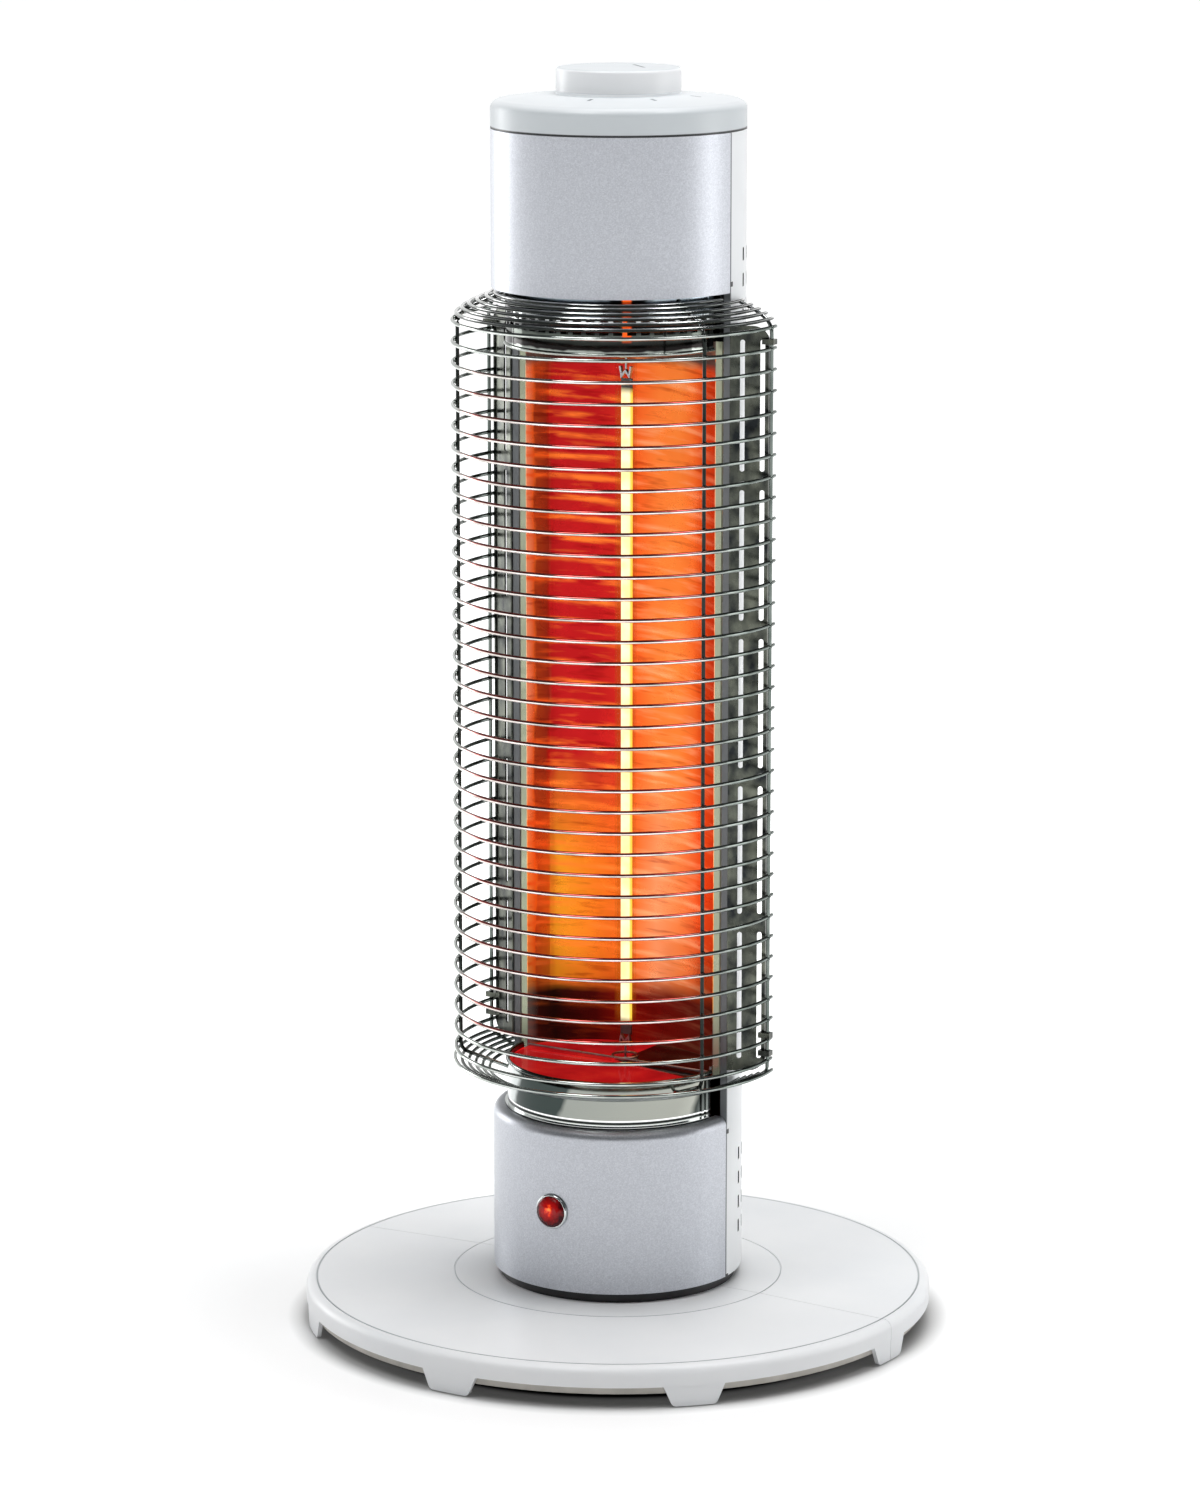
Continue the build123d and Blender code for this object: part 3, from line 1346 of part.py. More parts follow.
with BuildPart() as right_side_panel:
    with BuildSketch(Plane.XY.offset(panel_bottom_z)):
        with BuildLine():
            Polyline(panel_root, panel_tip, panel_fold)
        trace(line_width=panel_wall)
    extrude(amount=panel_height)
    add(panel_flange)
    for along in panel_slot_columns:
        for row in range(panel_slot_rows):
            slot_z = panel_slot_middle_z + (row - (panel_slot_rows - 1) / 2) * panel_slot_pitch
            spot = (
                panel_root[0] + slant_x[0] * along - slant_normal[0] * 3,
                panel_root[1] + slant_x[1] * along - slant_normal[1] * 3,
                slot_z,
            )
            with BuildSketch(Plane(origin=spot, x_dir=slant_x, z_dir=slant_normal)):
                SlotOverall(panel_slot_length, panel_slot_width, rotation=90)
    extrude(amount=6.0, mode=Mode.SUBTRACT)
    for corner_z, turn in ((panel_top_z, -1), (panel_bottom_z, 1)):
        corner = (
            panel_root[0] + slant_x[0] * (slant_length + 1.0) - slant_normal[0] * 8,
            panel_root[1] + slant_x[1] * (slant_length + 1.0) - slant_normal[1] * 8,
            corner_z,
        )
        with BuildSketch(Plane(origin=corner, x_dir=slant_x, z_dir=slant_normal)):
            Rectangle(
                panel_corner,
                panel_corner,
                align=(Align.MAX, Align.MAX if turn < 0 else Align.MIN),
            )
            with Locations((-panel_corner, turn * panel_corner)):
                Circle(panel_corner, mode=Mode.SUBTRACT)
    extrude(amount=16.0, mode=Mode.SUBTRACT)
    rod_spot = round_about(ring_radius + 0.3, end_rod_bearing)
    for height in guard_tab_heights:
        tab_middle = round_about(ring_radius - 0.7, end_rod_bearing)
        tab_plane = Plane(
            origin=(tab_middle[0], tab_middle[1], height),
            x_dir=(*round_about(1.0, end_rod_bearing), 0),
            z_dir=(0, 0, 1),
        )
        with BuildSketch(tab_plane):
            Rectangle(5.6, 4.2)
        extrude(amount=guard_tab_thickness)
    with Locations((rod_spot[0], rod_spot[1], panel_bottom_z)):
        Cylinder(
            wire_radius + 0.15,
            2 * panel_height,
            align=(Align.CENTER, Align.CENTER, Align.MIN),
            mode=Mode.SUBTRACT,
        )
    for height in panel_screw_heights:
        with BuildSketch(facing_plane(column_radius - 1.0, panel_screw_bearing, height)):
            Circle(1.2 + 0.2)
    extrude(amount=4.0, mode=Mode.SUBTRACT)
finish(right_side_panel, "right_side_panel")

with BuildPart() as left_side_panel:
    add(mirror(right_side_panel.part, about=Plane.YZ, mode=Mode.PRIVATE))
finish(left_side_panel, "left_side_panel")

# Panel screws: three a side through each panel's flange into the rear cover.
panel_screw = slotted_screw(1.2, 4.6, head_radius=2.1, head=1.1)
with BuildPart() as panel_screws:
    for side in (-1, 1):
        for height in panel_screw_heights:
            screw_plane = facing_plane(flange_outer, side * panel_screw_bearing, height)
            with Locations(screw_plane.location):
                add(panel_screw)
finish(panel_screws, "panel_screws")

# Wire guard: thirty-six round wires and two cones of smaller ones, welded to two end uprights.
upper_cone = [
    (ring_radius - 1.7, ring_top_z + 3.5),
    (ring_radius - 4.5, ring_top_z + 5.8),
    (ring_radius - 7.7, ring_top_z + 7.6),
    (ring_radius - 11.4, ring_top_z + 9.3),
    (ring_radius - 15.5, ring_top_z + 11.0),
]
lower_cone = [
    (lower_cone_radius - index * lower_cone_step, lower_cone_top_z - index * lower_cone_drop)
    for index in range(cone_ring_count)
]
full_rings = [(ring_radius, ring_top_z - index * ring_pitch) for index in range(ring_count)]


def wire_rings(centres, half_angle):
    """Open round wires, all with the same opening at the back."""
    with BuildPart() as rings:
        with BuildSketch(upright_plane(-half_angle)):
            with Locations(centres):
                RegularPolygon(wire_radius, wire_sides)
        revolve(axis=Axis.Z, revolution_arc=2 * half_angle)
    return rings.part


def guard_rod(bearing, points, bend):
    """Upright wire in the plane of its bearing, along points of radius and height."""
    with BuildPart() as rod:
        with BuildLine(upright_plane(bearing)):
            path = FilletPolyline(*points, radius=bend)
        with BuildSketch(Plane(origin=path @ 0, z_dir=path % 0)):
            Circle(wire_radius)
        sweep()
    return rod.part


end_rod_points = (
    (column_radius + 1.3, ring_bottom_z - 11.6),
    (ring_radius + 0.3, ring_bottom_z - 5.8),
    (ring_radius + 0.3, ring_top_z + 1.0),
    (ring_radius - 4.5, ring_top_z + 5.8),
    (column_radius + 1.3, ring_top_z + 11.2),
)
guard_wires = [wire_rings(full_rings + lower_cone + upper_cone, ring_half_angle)]
for bearing in (-end_rod_bearing, end_rod_bearing):
    guard_wires.append(guard_rod(bearing, end_rod_points, 3.0))
with BuildPart() as wire_guard:
    add(guard_wires)
finish(wire_guard, "wire_guard")

# Front uprights: two bent wires inside the rings, joined by the topmost and smallest ring.
top_ring = (ring_radius - 19.4, ring_top_z + 12.2)
top_ring_half_angle = 87.0
front_rod_points = (
    (collar_radius - 2.1, front_rod_foot_z),
    (ring_radius - front_rod_inset, ring_bottom_z - 4.1),
    (ring_radius - front_rod_inset, ring_top_z + 0.5),
    (ring_radius - 6.7, ring_top_z + 4.9),
    (collar_radius - 2.5, front_rod_head_z),
)
upright_wires = [wire_rings([top_ring], top_ring_half_angle)]
for bearing in (-front_rod_bearing, front_rod_bearing):
    upright_wires.append(guard_rod(bearing, front_rod_points, 3.0))
with BuildPart() as guard_uprights:
    add(upright_wires)
finish(guard_uprights, "guard_uprights")
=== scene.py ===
import math

import bmesh
import bpy
import numpy as np
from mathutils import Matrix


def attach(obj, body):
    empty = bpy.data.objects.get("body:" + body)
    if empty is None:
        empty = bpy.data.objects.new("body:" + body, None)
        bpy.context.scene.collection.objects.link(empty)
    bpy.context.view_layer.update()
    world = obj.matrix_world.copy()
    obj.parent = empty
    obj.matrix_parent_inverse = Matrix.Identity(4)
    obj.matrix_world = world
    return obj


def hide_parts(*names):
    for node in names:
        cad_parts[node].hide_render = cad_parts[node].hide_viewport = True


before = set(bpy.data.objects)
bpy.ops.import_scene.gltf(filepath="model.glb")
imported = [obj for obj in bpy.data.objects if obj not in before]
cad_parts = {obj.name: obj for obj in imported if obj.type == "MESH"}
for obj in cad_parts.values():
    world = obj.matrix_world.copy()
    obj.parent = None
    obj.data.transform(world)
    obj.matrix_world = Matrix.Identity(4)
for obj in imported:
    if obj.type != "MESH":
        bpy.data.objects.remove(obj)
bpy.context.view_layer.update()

# Studio: a long lens from the right of the front, soft boxes on both sides, and a sky that is
# darker on the camera's side, so that bright metal has something to show.
MM = 0.001


def linear(hex_colour):
    """An sRGB hex value as linear red, green, blue and alpha."""
    parts = [int(hex_colour[i : i + 2], 16) / 255 for i in (1, 3, 5)]
    return [c / 12.92 if c <= 0.04045 else ((c + 0.055) / 1.055) ** 2.4 for c in parts] + [1.0]


def add_node(tree, kind, *values, stops=(), output=None):
    """Adds one node: kind is its type and, after a blank, its operation. Its inputs are filled or
    linked in their order, a colour ramp gets its stops, and one output socket is given back."""
    family, _, operation = kind.partition(" ")
    made = tree.nodes.new("ShaderNode" + family)
    if family == "Mix":
        made.data_type = "RGBA"
    if operation:
        setattr(made, "blend_type" if family == "Mix" else "operation", operation)
    for socket, value in zip([s for s in made.inputs if s.enabled], values):
        if isinstance(value, bpy.types.NodeSocket):
            tree.links.new(value, socket)
        elif value is not None:
            socket.default_value = value
    if stops:
        elements = made.color_ramp.elements
        while len(elements) < len(stops):
            elements.new(0.5)
        for element, (position, colour) in zip(elements, stops):
            element.position = position
            element.color = linear(colour)
    return made.outputs[output] if output else next((s for s in made.outputs if s.enabled), None)


camera_azimuth = math.radians(31.4)
camera_distance = 2.383
camera_height = 0.7464
camera_pitch = math.radians(11.37)
camera_yaw = math.radians(0.2)
towards_camera = (math.sin(camera_azimuth), -math.cos(camera_azimuth), 0.0)
camera_data = bpy.data.cameras.new("photo_camera")
camera_data.lens = 127.58
camera_data.sensor_width = 36.0
camera = bpy.data.objects.new("photo_camera", camera_data)
camera.location = [camera_distance * part for part in towards_camera[:2]] + [camera_height]
camera.rotation_euler = (math.pi / 2 - camera_pitch, 0, camera_azimuth + camera_yaw)
bpy.context.collection.objects.link(camera)
bpy.context.scene.camera = camera
bpy.context.scene.view_settings.view_transform = "Standard"

world = bpy.data.worlds.new("studio_sky")
bpy.context.scene.world = world
world.use_nodes = True
tree = world.node_tree
tree.nodes.clear()
direction = add_node(tree, "TexCoord", output="Generated")
steepness = add_node(tree, "SeparateXYZ", direction, output="Z")
far_sky = add_node(
    tree,
    "ValToRGB",
    steepness,
    stops=[
        (0.0, "#FFFFFF"), (0.30, "#E8E8E8"), (0.45, "#2A2C2C"), (0.8, "#3A3C3C"), (1.0, "#8A8C8E"),
    ],
)
near_sky = add_node(
    tree,
    "ValToRGB",
    steepness,
    stops=[
        (0.0, "#3E4042"), (0.12, "#2C2E30"), (0.45, "#3E4042"), (0.7, "#5A5C5E"), (1.0, "#7A7C7E"),
    ],
)
facing = add_node(tree, "VectorMath DOT_PRODUCT", direction, towards_camera)
camera_side = add_node(tree, "MapRange", facing, -0.35, 0.25)
sky = add_node(tree, "Mix", camera_side, far_sky, near_sky)
add_node(tree, "OutputWorld", add_node(tree, "Background", sky, 1.0))


def soft_box(name, place, target, size, power):
    """A rectangular area light at a place, turned to face a target point."""
    data = bpy.data.lights.new(name, "AREA")
    data.shape = "RECTANGLE"
    data.size, data.size_y = size
    data.energy = power
    lamp = bpy.data.objects.new(name, data)
    lamp.location = place
    away = np.array(place, float) - np.array(target, float)
    level = math.hypot(away[0], away[1])
    lamp.rotation_euler = (math.atan2(level, away[2]), 0, math.atan2(away[0], -away[1]))
    bpy.context.collection.objects.link(lamp)
    return lamp


# Two keys, high at the front left and at the right, give the wires and the lacquer their
# highlights; the one above only fills.
soft_box("key_left", (-0.23, -1.20, 2.30), (0, 0, 0.3), (0.8, 0.8), 16)
soft_box("key_right", (1.21, 0.13, 2.30), (0, 0, 0.3), (0.8, 0.8), 11)
soft_box("left_box", (-2.4, 0.2, 0.6), (0, 0, 0.25), (0.9, 1.2), 11.5)
soft_box("right_box", (2.2, 1.3, 0.6), (0, 0, 0.25), (0.9, 1.2), 7.5)
fill = soft_box("fill_above", (0.1, 0.3, 3.4), (0, 0, 0), (1.8, 1.8), 76)
fill.visible_glossy = False

# Floor: white seamless paper that runs past the top of the picture. Near the heater it is lit paper
# with a painted contact shadow, black under the base; farther off it gives light of its own and stays
# white.
floor_half = 60.0
corners = [(-1, -1), (1, -1), (1, 1), (-1, 1)]
floor_mesh = bpy.data.meshes.new("studio_floor")
floor_mesh.from_pydata([(x * floor_half, y * floor_half, 0) for x, y in corners], [], [range(4)])
studio_floor = bpy.data.objects.new("studio_floor", floor_mesh)
bpy.context.collection.objects.link(studio_floor)
paper = bpy.data.materials.new("seamless_paper")
paper.use_nodes = True
tree = paper.node_tree
shader = tree.nodes["Principled BSDF"]
shader.inputs["Roughness"].default_value = 0.9
shader.inputs["Specular IOR Level"].default_value = 0.1
shader.inputs["Emission Color"].default_value = linear("#FFFFFF")
out_from_base = add_node(tree, "VectorMath LENGTH", add_node(tree, "TexCoord", output="Object"))
far_light = add_node(tree, "MapRange", out_from_base, 0.14, 0.9, 0.0, 0.82)
# painted light: a faint glow lifts the painted shadow to grey just outside the base
near_light = add_node(tree, "MapRange", out_from_base, 0.127, 0.131, 0.0, 0.045)
own_light = add_node(tree, "Math ADD", far_light, near_light)
# painted contact shadow: the paper is painted black under the base, grey round it and white farther
# off
paper_with_painted_shadow = add_node(
    tree,
    "ValToRGB",
    add_node(tree, "MapRange", out_from_base, 0.11, 0.16),
    stops=[
        (0.0, "#060606"), (0.34, "#0A0A0A"), (0.42, "#5A5A5A"), (0.58, "#9A9A9A"), (0.88, "#F0F0F0"),
    ],
)
tree.links.new(paper_with_painted_shadow, shader.inputs["Base Color"])
tree.links.new(own_light, shader.inputs["Emission Strength"])
floor_mesh.materials.append(paper)


# Base: two half discs injection-moulded in white ABS, screwed to the ballast plate from below.
# Two shallow rings run round the top and gather a little shade.
def start_material(name, roughness=0.5, metallic=0.0, ior=1.5):
    """A new material with one principled shader, its constants set on the sockets."""
    made = bpy.data.materials.new(name)
    made.use_nodes = True
    shader = made.node_tree.nodes["Principled BSDF"]
    shader.inputs["Roughness"].default_value = roughness
    shader.inputs["Metallic"].default_value = metallic
    if not metallic:
        shader.inputs["IOR"].default_value = ior
    return made, made.node_tree, shader


def grain(tree, shader, size_mm, depth_mm):
    """Fine bump in the piece's own millimetres: one noise whose bumps are size_mm apart."""
    place = add_node(tree, "TexCoord", output="Object")
    noise = add_node(tree, "TexNoise", place, 1 / (size_mm * MM), 3.0)
    bump = add_node(tree, "Bump", 1.0, depth_mm * MM, None, noise)
    tree.links.new(bump, shader.inputs["Normal"])
    return place


def mottle_gloss(tree, shader, place, size_mm, low, high):
    """Slow variation of the roughness between low and high."""
    noise = add_node(tree, "TexNoise", place, 1 / (size_mm * MM), 4.0)
    spread = add_node(tree, "MapRange", noise, 0.3, 0.7, low, high)
    tree.links.new(spread, shader.inputs["Roughness"])


def tint(tree, shader, place, size_mm, first, second, detail=5.0, low=0.32, high=0.68):
    """Slow variation of the base colour between two sRGB values, reached at low and high."""
    noise = add_node(tree, "TexNoise", place, 1 / (size_mm * MM), detail)
    tone = add_node(tree, "ValToRGB", noise, stops=[(low, first), (high, second)])
    tree.links.new(tone, shader.inputs["Base Color"])
    return tone


def moulded_abs(name, first, second, **mix):
    """White ABS from a spark-eroded mould: slightly glossy, with a fine even grain, its tone
    between two sRGB values mixed as tint does."""
    made, tree, shader = start_material(name, ior=1.54)
    place = grain(tree, shader, 0.6, 0.004)
    mottle_gloss(tree, shader, place, 25, 0.30, 0.40)
    return made, tree, shader, tint(tree, shader, place, 60, first, second, **mix)


def about_axis(tree):
    """Object coordinates as place, x, y, z, the distance from the column's axis and the bearing
    from the front, in radians, positive towards +X."""
    place = add_node(tree, "TexCoord", output="Object")
    x, y, z = add_node(tree, "SeparateXYZ", place).node.outputs
    across = add_node(tree, "Math POWER", x, 2.0)
    along = add_node(tree, "Math POWER", y, 2.0)
    radius = add_node(tree, "Math POWER", add_node(tree, "Math ADD", across, along), 0.5)
    bearing = add_node(tree, "Math ARCTAN2", x, add_node(tree, "Math MULTIPLY", y, -1.0))
    return place, x, y, z, radius, bearing


def paint(material, *names):
    """Gives one material to carried-over CAD nodes."""
    for name in names:
        node_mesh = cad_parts[name].data
        node_mesh.materials.clear()
        node_mesh.materials.append(material)


base_abs, tree, shader, tone = moulded_abs("moulded_white_base", "#E7E9EB", "#EDEEEF")
radius = about_axis(tree)[4]
# the rings lie 76 and 140 mm out
ring_shade = add_node(
    tree,
    "ValToRGB",
    add_node(tree, "MapRange", radius, 70 * MM, 145 * MM),
    stops=[
        (0.0, "#FFFFFF"), (0.0745, "#FFFFFF"), (0.0785, "#B9BDC0"), (0.0825, "#FFFFFF"),
        (0.925, "#FFFFFF"), (0.9335, "#A9AEB1"), (0.942, "#FFFFFF"),
    ],
)
tree.links.new(add_node(tree, "Mix MULTIPLY", 1.0, tone, ring_shade), shader.inputs["Base Color"])
paint(base_abs, "base_front_half", "base_rear_half")

# Ballast plate: a thick disc cut from steel sheet and painted a dull warm grey, which gives no
# shine. Only its edge shows, under the rim.
dull_paint, tree, shader = start_material("dull_grey_paint", 0.55)
place = grain(tree, shader, 0.5, 0.01)
tint(tree, shader, place, 12, "#B2AEA6", "#C6C2BA")
paint(dull_paint, "ballast_plate")

# Feet: four pads of moulded rubber, glued under the plate, near black and matt, with a slightly
# rough skin.
rubber, tree, shader = start_material("moulded_rubber", 0.75, ior=1.52)
place = grain(tree, shader, 0.8, 0.02)
tint(tree, shader, place, 5, "#121212", "#1E1E1E")
paint(rubber, "rubber_feet")

# Screws, brackets, clips and spring: pressed or turned steel, zinc plated, blue-grey and fairly
# bright with cloudy patches.
zinc, tree, shader = start_material("zinc_plated_steel", metallic=1.0)
place = grain(tree, shader, 0.4, 0.003)
tint(tree, shader, place, 9, "#A9AEB4", "#D2D4D4")
mottle_gloss(tree, shader, place, 6, 0.24, 0.42)
paint(
    zinc,
    "ballast_screws", "retainer_screws", "frame_screws", "cover_screws", "cap_screws",
    "holder_screws", "panel_screws", "swivel_plate", "swivel_retainer", "lower_frame",
    "upper_frame", "element_clips", "element_pins", "switch_nut", "switch_shaft",
    "tube_retaining_wire", "tip_switch_spring",
)

# Swivel ring, switches and gland: moulded in black glass-filled nylon, whose fibres leave it
# satin and a little uneven in gloss.
black_nylon, tree, shader = start_material("black_moulded_nylon", ior=1.53)
place = grain(tree, shader, 0.5, 0.006)
tint(tree, shader, place, 14, "#0D0E10", "#17181A")
mottle_gloss(tree, shader, place, 10, 0.38, 0.52)
paint(
    black_nylon,
    "swivel_ring", "tip_switch_body", "cord_gland", "gland_nut", "rectifier_diode",
    "lamp_base", "rotary_switch",
)

# Swivel washer, splice cap and the lamp's nut: moulded in natural nylon, without dye, which
# looks milky white and waxy.
natural_nylon, tree, shader = start_material("natural_nylon", ior=1.53)
place = grain(tree, shader, 0.7, 0.004)
tint(tree, shader, place, 8, "#DFDACB", "#EBE8DE")
paint(natural_nylon, "swivel_washer", "lead_splice", "lamp_nut")

# Plunger of the tip switch: acetal, moulded in red so that it is easy to find under the base.
# It slides in the switch's body and has a smooth, soft shine.
red_acetal, tree, shader = start_material("red_acetal", 0.4, ior=1.48)
place = grain(tree, shader, 0.5, 0.004)
tint(tree, shader, place, 4, "#A3241D", "#BA3128")
paint(red_acetal, "tip_plunger")

# Leads: glass-fibre sleeves over silicone, which stand the heat, off-white and dry, with a
# fine rough braid.
sleeve, tree, shader = start_material("glass_fibre_sleeve", 0.7)
place = grain(tree, shader, 0.35, 0.05)
tint(tree, shader, place, 2, "#CFCABF", "#E2DFD6")
paint(sleeve, "tip_switch_lead", "internal_leads")

# Tube holders and terminals: steatite, a ceramic pressed and fired without glaze, cream
# coloured and dry.
steatite, tree, shader = start_material("unglazed_steatite", 0.72, ior=1.6)
place = grain(tree, shader, 0.3, 0.01)
tint(tree, shader, place, 6, "#DFD8C8", "#EEE9DD")
paint(steatite, "lower_tube_holder", "upper_tube_holder", "terminal_block", "thermal_cutoff")

# Terminal screws: turned brass, left without plating, yellow and bright, with a fine even
# grain.
brass, tree, shader = start_material("turned_brass", 0.28, metallic=1.0)
place = grain(tree, shader, 0.4, 0.004)
tint(tree, shader, place, 3, "#B9954B", "#D5B56C")
paint(brass, "terminal_screws")

# Front shells: rolled steel, sprayed with a silver-grey metallic lacquer whose fine flakes
# give a grainy satin shine.
lacquer, tree, shader = start_material("silver_lacquer", 0.40, metallic=0.72)
place = add_node(tree, "TexCoord", output="Object")
# flakes are really 0.05 mm; 0.5 mm is the finest that shows at this size
flakes = add_node(tree, "TexVoronoi", place, 1 / (0.5 * MM), output="Color")
flake_tone = add_node(
    tree, "ValToRGB", flakes, stops=[(0.0, "#B4B7BE"), (0.5, "#BFC2C9"), (1.0, "#CDD0D6")]
)
flake_bump = add_node(tree, "Bump", 0.5, 0.01 * MM, None, flakes)
tree.links.new(flake_tone, shader.inputs["Base Color"])
tree.links.new(flake_bump, shader.inputs["Normal"])
shader.inputs["Coat Weight"].default_value = 0.3
shader.inputs["Coat Roughness"].default_value = 0.35
paint(lacquer, "lower_front_shell", "upper_front_shell")


# Cup, at the window's foot: a deep-drawn steel collar, polished and chrome plated. Its floor has a
# painted crimson glow, as lit by the strip; its outside has a painted reflection, a dark patch on its
# left and a pale one in front.
def all_of(tree, *masks):
    """The product of several masks: 1 only where each of them is 1."""
    whole = masks[0]
    for mask in masks[1:]:
        whole = add_node(tree, "Math MULTIPLY", whole, mask)
    return whole


def band(tree, value, rise, fall):
    """A soft mask: up from 0 to 1 over the first two values, and down again over the others."""
    return all_of(
        tree, add_node(tree, "MapRange", value, *rise), add_node(tree, "MapRange", value, *fall)
    )


def sway(tree, value, noise, spread):
    """A value pushed to and fro by a noise, by up to half of spread each way."""
    offset = add_node(tree, "Math MULTIPLY", add_node(tree, "Math ADD", noise, -0.5), spread)
    return add_node(tree, "Math ADD", value, offset)


cup_chrome, tree, shader = start_material("chrome_cup_painted_glow", metallic=1.0)
place, x, y, z, radius, bearing = about_axis(tree)
blur = add_node(tree, "TexNoise", place, 1 / (16 * MM), 2.0)
# the painted reflection's dark patch leans about its middle, 111 mm up: its right edge lies further
# round at the top
lean = add_node(tree, "Math MULTIPLY", add_node(tree, "Math ADD", z, -111 * MM), -10.0)
swayed = add_node(tree, "Math ADD", sway(tree, bearing, blur, 0.2), lean)
turned = add_node(tree, "MapRange", swayed, -1.6, 1.6)
# painted reflection round the outside
outside = add_node(
    tree,
    "ValToRGB",
    turned,
    stops=[
        (0.0, "#8E9593"), (0.22, "#D8DCDA"), (0.30, "#C0C6C4"), (0.318, "#39413F"), (0.50, "#3C4442"),
        (0.515, "#8E928C"), (0.85, "#9A9C94"), (0.90, "#A2A49C"), (0.93, "#3A3F3C"), (1.0, "#9AA09E"),
    ],
)
# painted reflection of the glow and of the dark room on the inner wall
inside = add_node(
    tree,
    "ValToRGB",
    turned,
    stops=[
        (0.0, "#5A6462"), (0.35, "#3E4A48"), (0.42, "#6A1A14"), (0.7, "#7E1A14"), (0.88, "#5A4A44"),
        (0.93, "#6A6E68"),
    ],
)
# painted glow on the cup's floor, which also gives off light
cup_floor_painted_glow = add_node(
    tree,
    "ValToRGB",
    add_node(tree, "MapRange", blur, 0.3, 0.7),
    stops=[(0.0, "#B8141A"), (0.6, "#D41E20"), (1.0, "#DC2C24")],
)
# painted reflection: the rolled lip at the foot is painted with the shell's edge as thin dark and
# pale lines
lip_painted_reflection = add_node(
    tree,
    "ValToRGB",
    add_node(tree, "MapRange", z, 99.5 * MM, 106.0 * MM),
    stops=[
        (0.0, "#141615"), (0.42, "#202322"), (0.50, "#E8ECEA"), (0.60, "#C8CCC8"), (0.66, "#1C1F1E"),
        (0.80, "#2A2E2C"), (0.86, "#FFFFFF"),
    ],
)
on_lip = add_node(tree, "MapRange", z, 105.7 * MM, 105.5 * MM)
on_floor = band(tree, z, (118.8 * MM, 119.0 * MM), (121.0 * MM, 120.7 * MM))
held_in = all_of(
    tree,
    add_node(tree, "MapRange", radius, 50.4 * MM, 50.0 * MM),
    add_node(tree, "MapRange", bearing, 1.36, 1.34),
)
outside = add_node(tree, "Mix", on_lip, outside, lip_painted_reflection)
inside = add_node(tree, "Mix", on_floor, inside, cup_floor_painted_glow)
cup_painted_reflection = add_node(tree, "Mix", held_in, outside, inside)
tree.links.new(cup_painted_reflection, shader.inputs["Base Color"])
tree.links.new(cup_floor_painted_glow, shader.inputs["Emission Color"])
tree.links.new(all_of(tree, held_in, on_floor, 0.6), shader.inputs["Emission Strength"])
mottle_gloss(tree, shader, place, 12, 0.06, 0.16)
paint(cup_chrome, "bottom_collar")

# Neck, at the window's head: the same plated collar, punched with two rows of slots. Its painted
# reflection shows the dark room between the wires, and the strip as one upright orange line that also
# glows.
neck_chrome, tree, shader = start_material("chrome_neck_painted_reflection", metallic=1.0)
place, x, y, z, radius, bearing = about_axis(tree)
blur = add_node(tree, "TexNoise", place, 1 / (9 * MM), 2.0)
level = sway(tree, z, blur, 3 * MM)
# painted reflection: pale and dark patches round the upper neck, and bands up its lower part
upper_neck = add_node(
    tree,
    "ValToRGB",
    add_node(tree, "MapRange", sway(tree, bearing, blur, 0.25), -1.6, 1.8),
    stops=[
        (0.0, "#5A6062"), (0.18, "#1E2022"), (0.34, "#24282A"), (0.38, "#5A6468"), (0.47, "#86929A"),
        (0.56, "#7E8A92"), (0.60, "#101214"), (0.69, "#0E0F11"), (0.73, "#A6B2BA"), (0.90, "#96A2AA"),
        (0.94, "#1E2022"),
    ],
)
lower_neck = add_node(
    tree,
    "ValToRGB",
    add_node(tree, "MapRange", level, 454 * MM, 468 * MM),
    stops=[
        (0.0, "#B4BAB4"), (0.14, "#9CA29C"), (0.20, "#201C1C"), (0.45, "#2E302E"), (0.62, "#5A605A"),
        (0.74, "#262828"), (1.0, "#161617"),
    ],
)
raised = add_node(tree, "MapRange", level, 467.5 * MM, 470.5 * MM)
neck_painted_reflection = add_node(tree, "Mix", raised, lower_neck, upper_neck)
# painted highlight on the metal between the upper slots
between_slots = band(tree, z, (467.7 * MM, 468.0 * MM), (471.3 * MM, 471.0 * MM))
neck_painted_reflection = add_node(
    tree, "Mix", all_of(tree, between_slots, 0.9), neck_painted_reflection, linear("#F0F4F4")
)
# painted reflection of the strip, at one bearing, glowing faintly
strip_image = 0.62  # bearing, in radians
off_image = add_node(tree, "Math ADD", bearing, -strip_image)
off_image = add_node(tree, "Math ABSOLUTE", off_image)
strip_painted_reflection = all_of(
    tree,
    add_node(tree, "MapRange", off_image, 0.050, 0.030),
    add_node(tree, "MapRange", z, 460 * MM, 462 * MM),
)
neck_painted_reflection = add_node(tree, "Mix", strip_painted_reflection, neck_painted_reflection, linear("#E0561C"))
tree.links.new(neck_painted_reflection, shader.inputs["Base Color"])
tree.links.new(neck_painted_reflection, shader.inputs["Emission Color"])
tree.links.new(all_of(tree, strip_painted_reflection, 0.35), shader.inputs["Emission Strength"])
mottle_gloss(tree, shader, place, 12, 0.06, 0.16)
paint(neck_chrome, "top_collar")


# Reflector: one sheet of bright-rolled aluminium, bent to a trough with two flat flanges. With the
# heater on, its face is filled with the strip's glow, crimson on one side and orange on the other;
# this glow is painted on as colour that also gives off light.
def quads(number):
    """Four-sided faces between the rows of a numbered grid whose rows close on themselves."""
    here, ahead = number[..., :-1, :], number[..., 1:, :]
    faces = [here, np.roll(here, -1, -1), np.roll(ahead, -1, -1), ahead]
    return np.stack(faces, axis=-1).reshape(-1, 4)


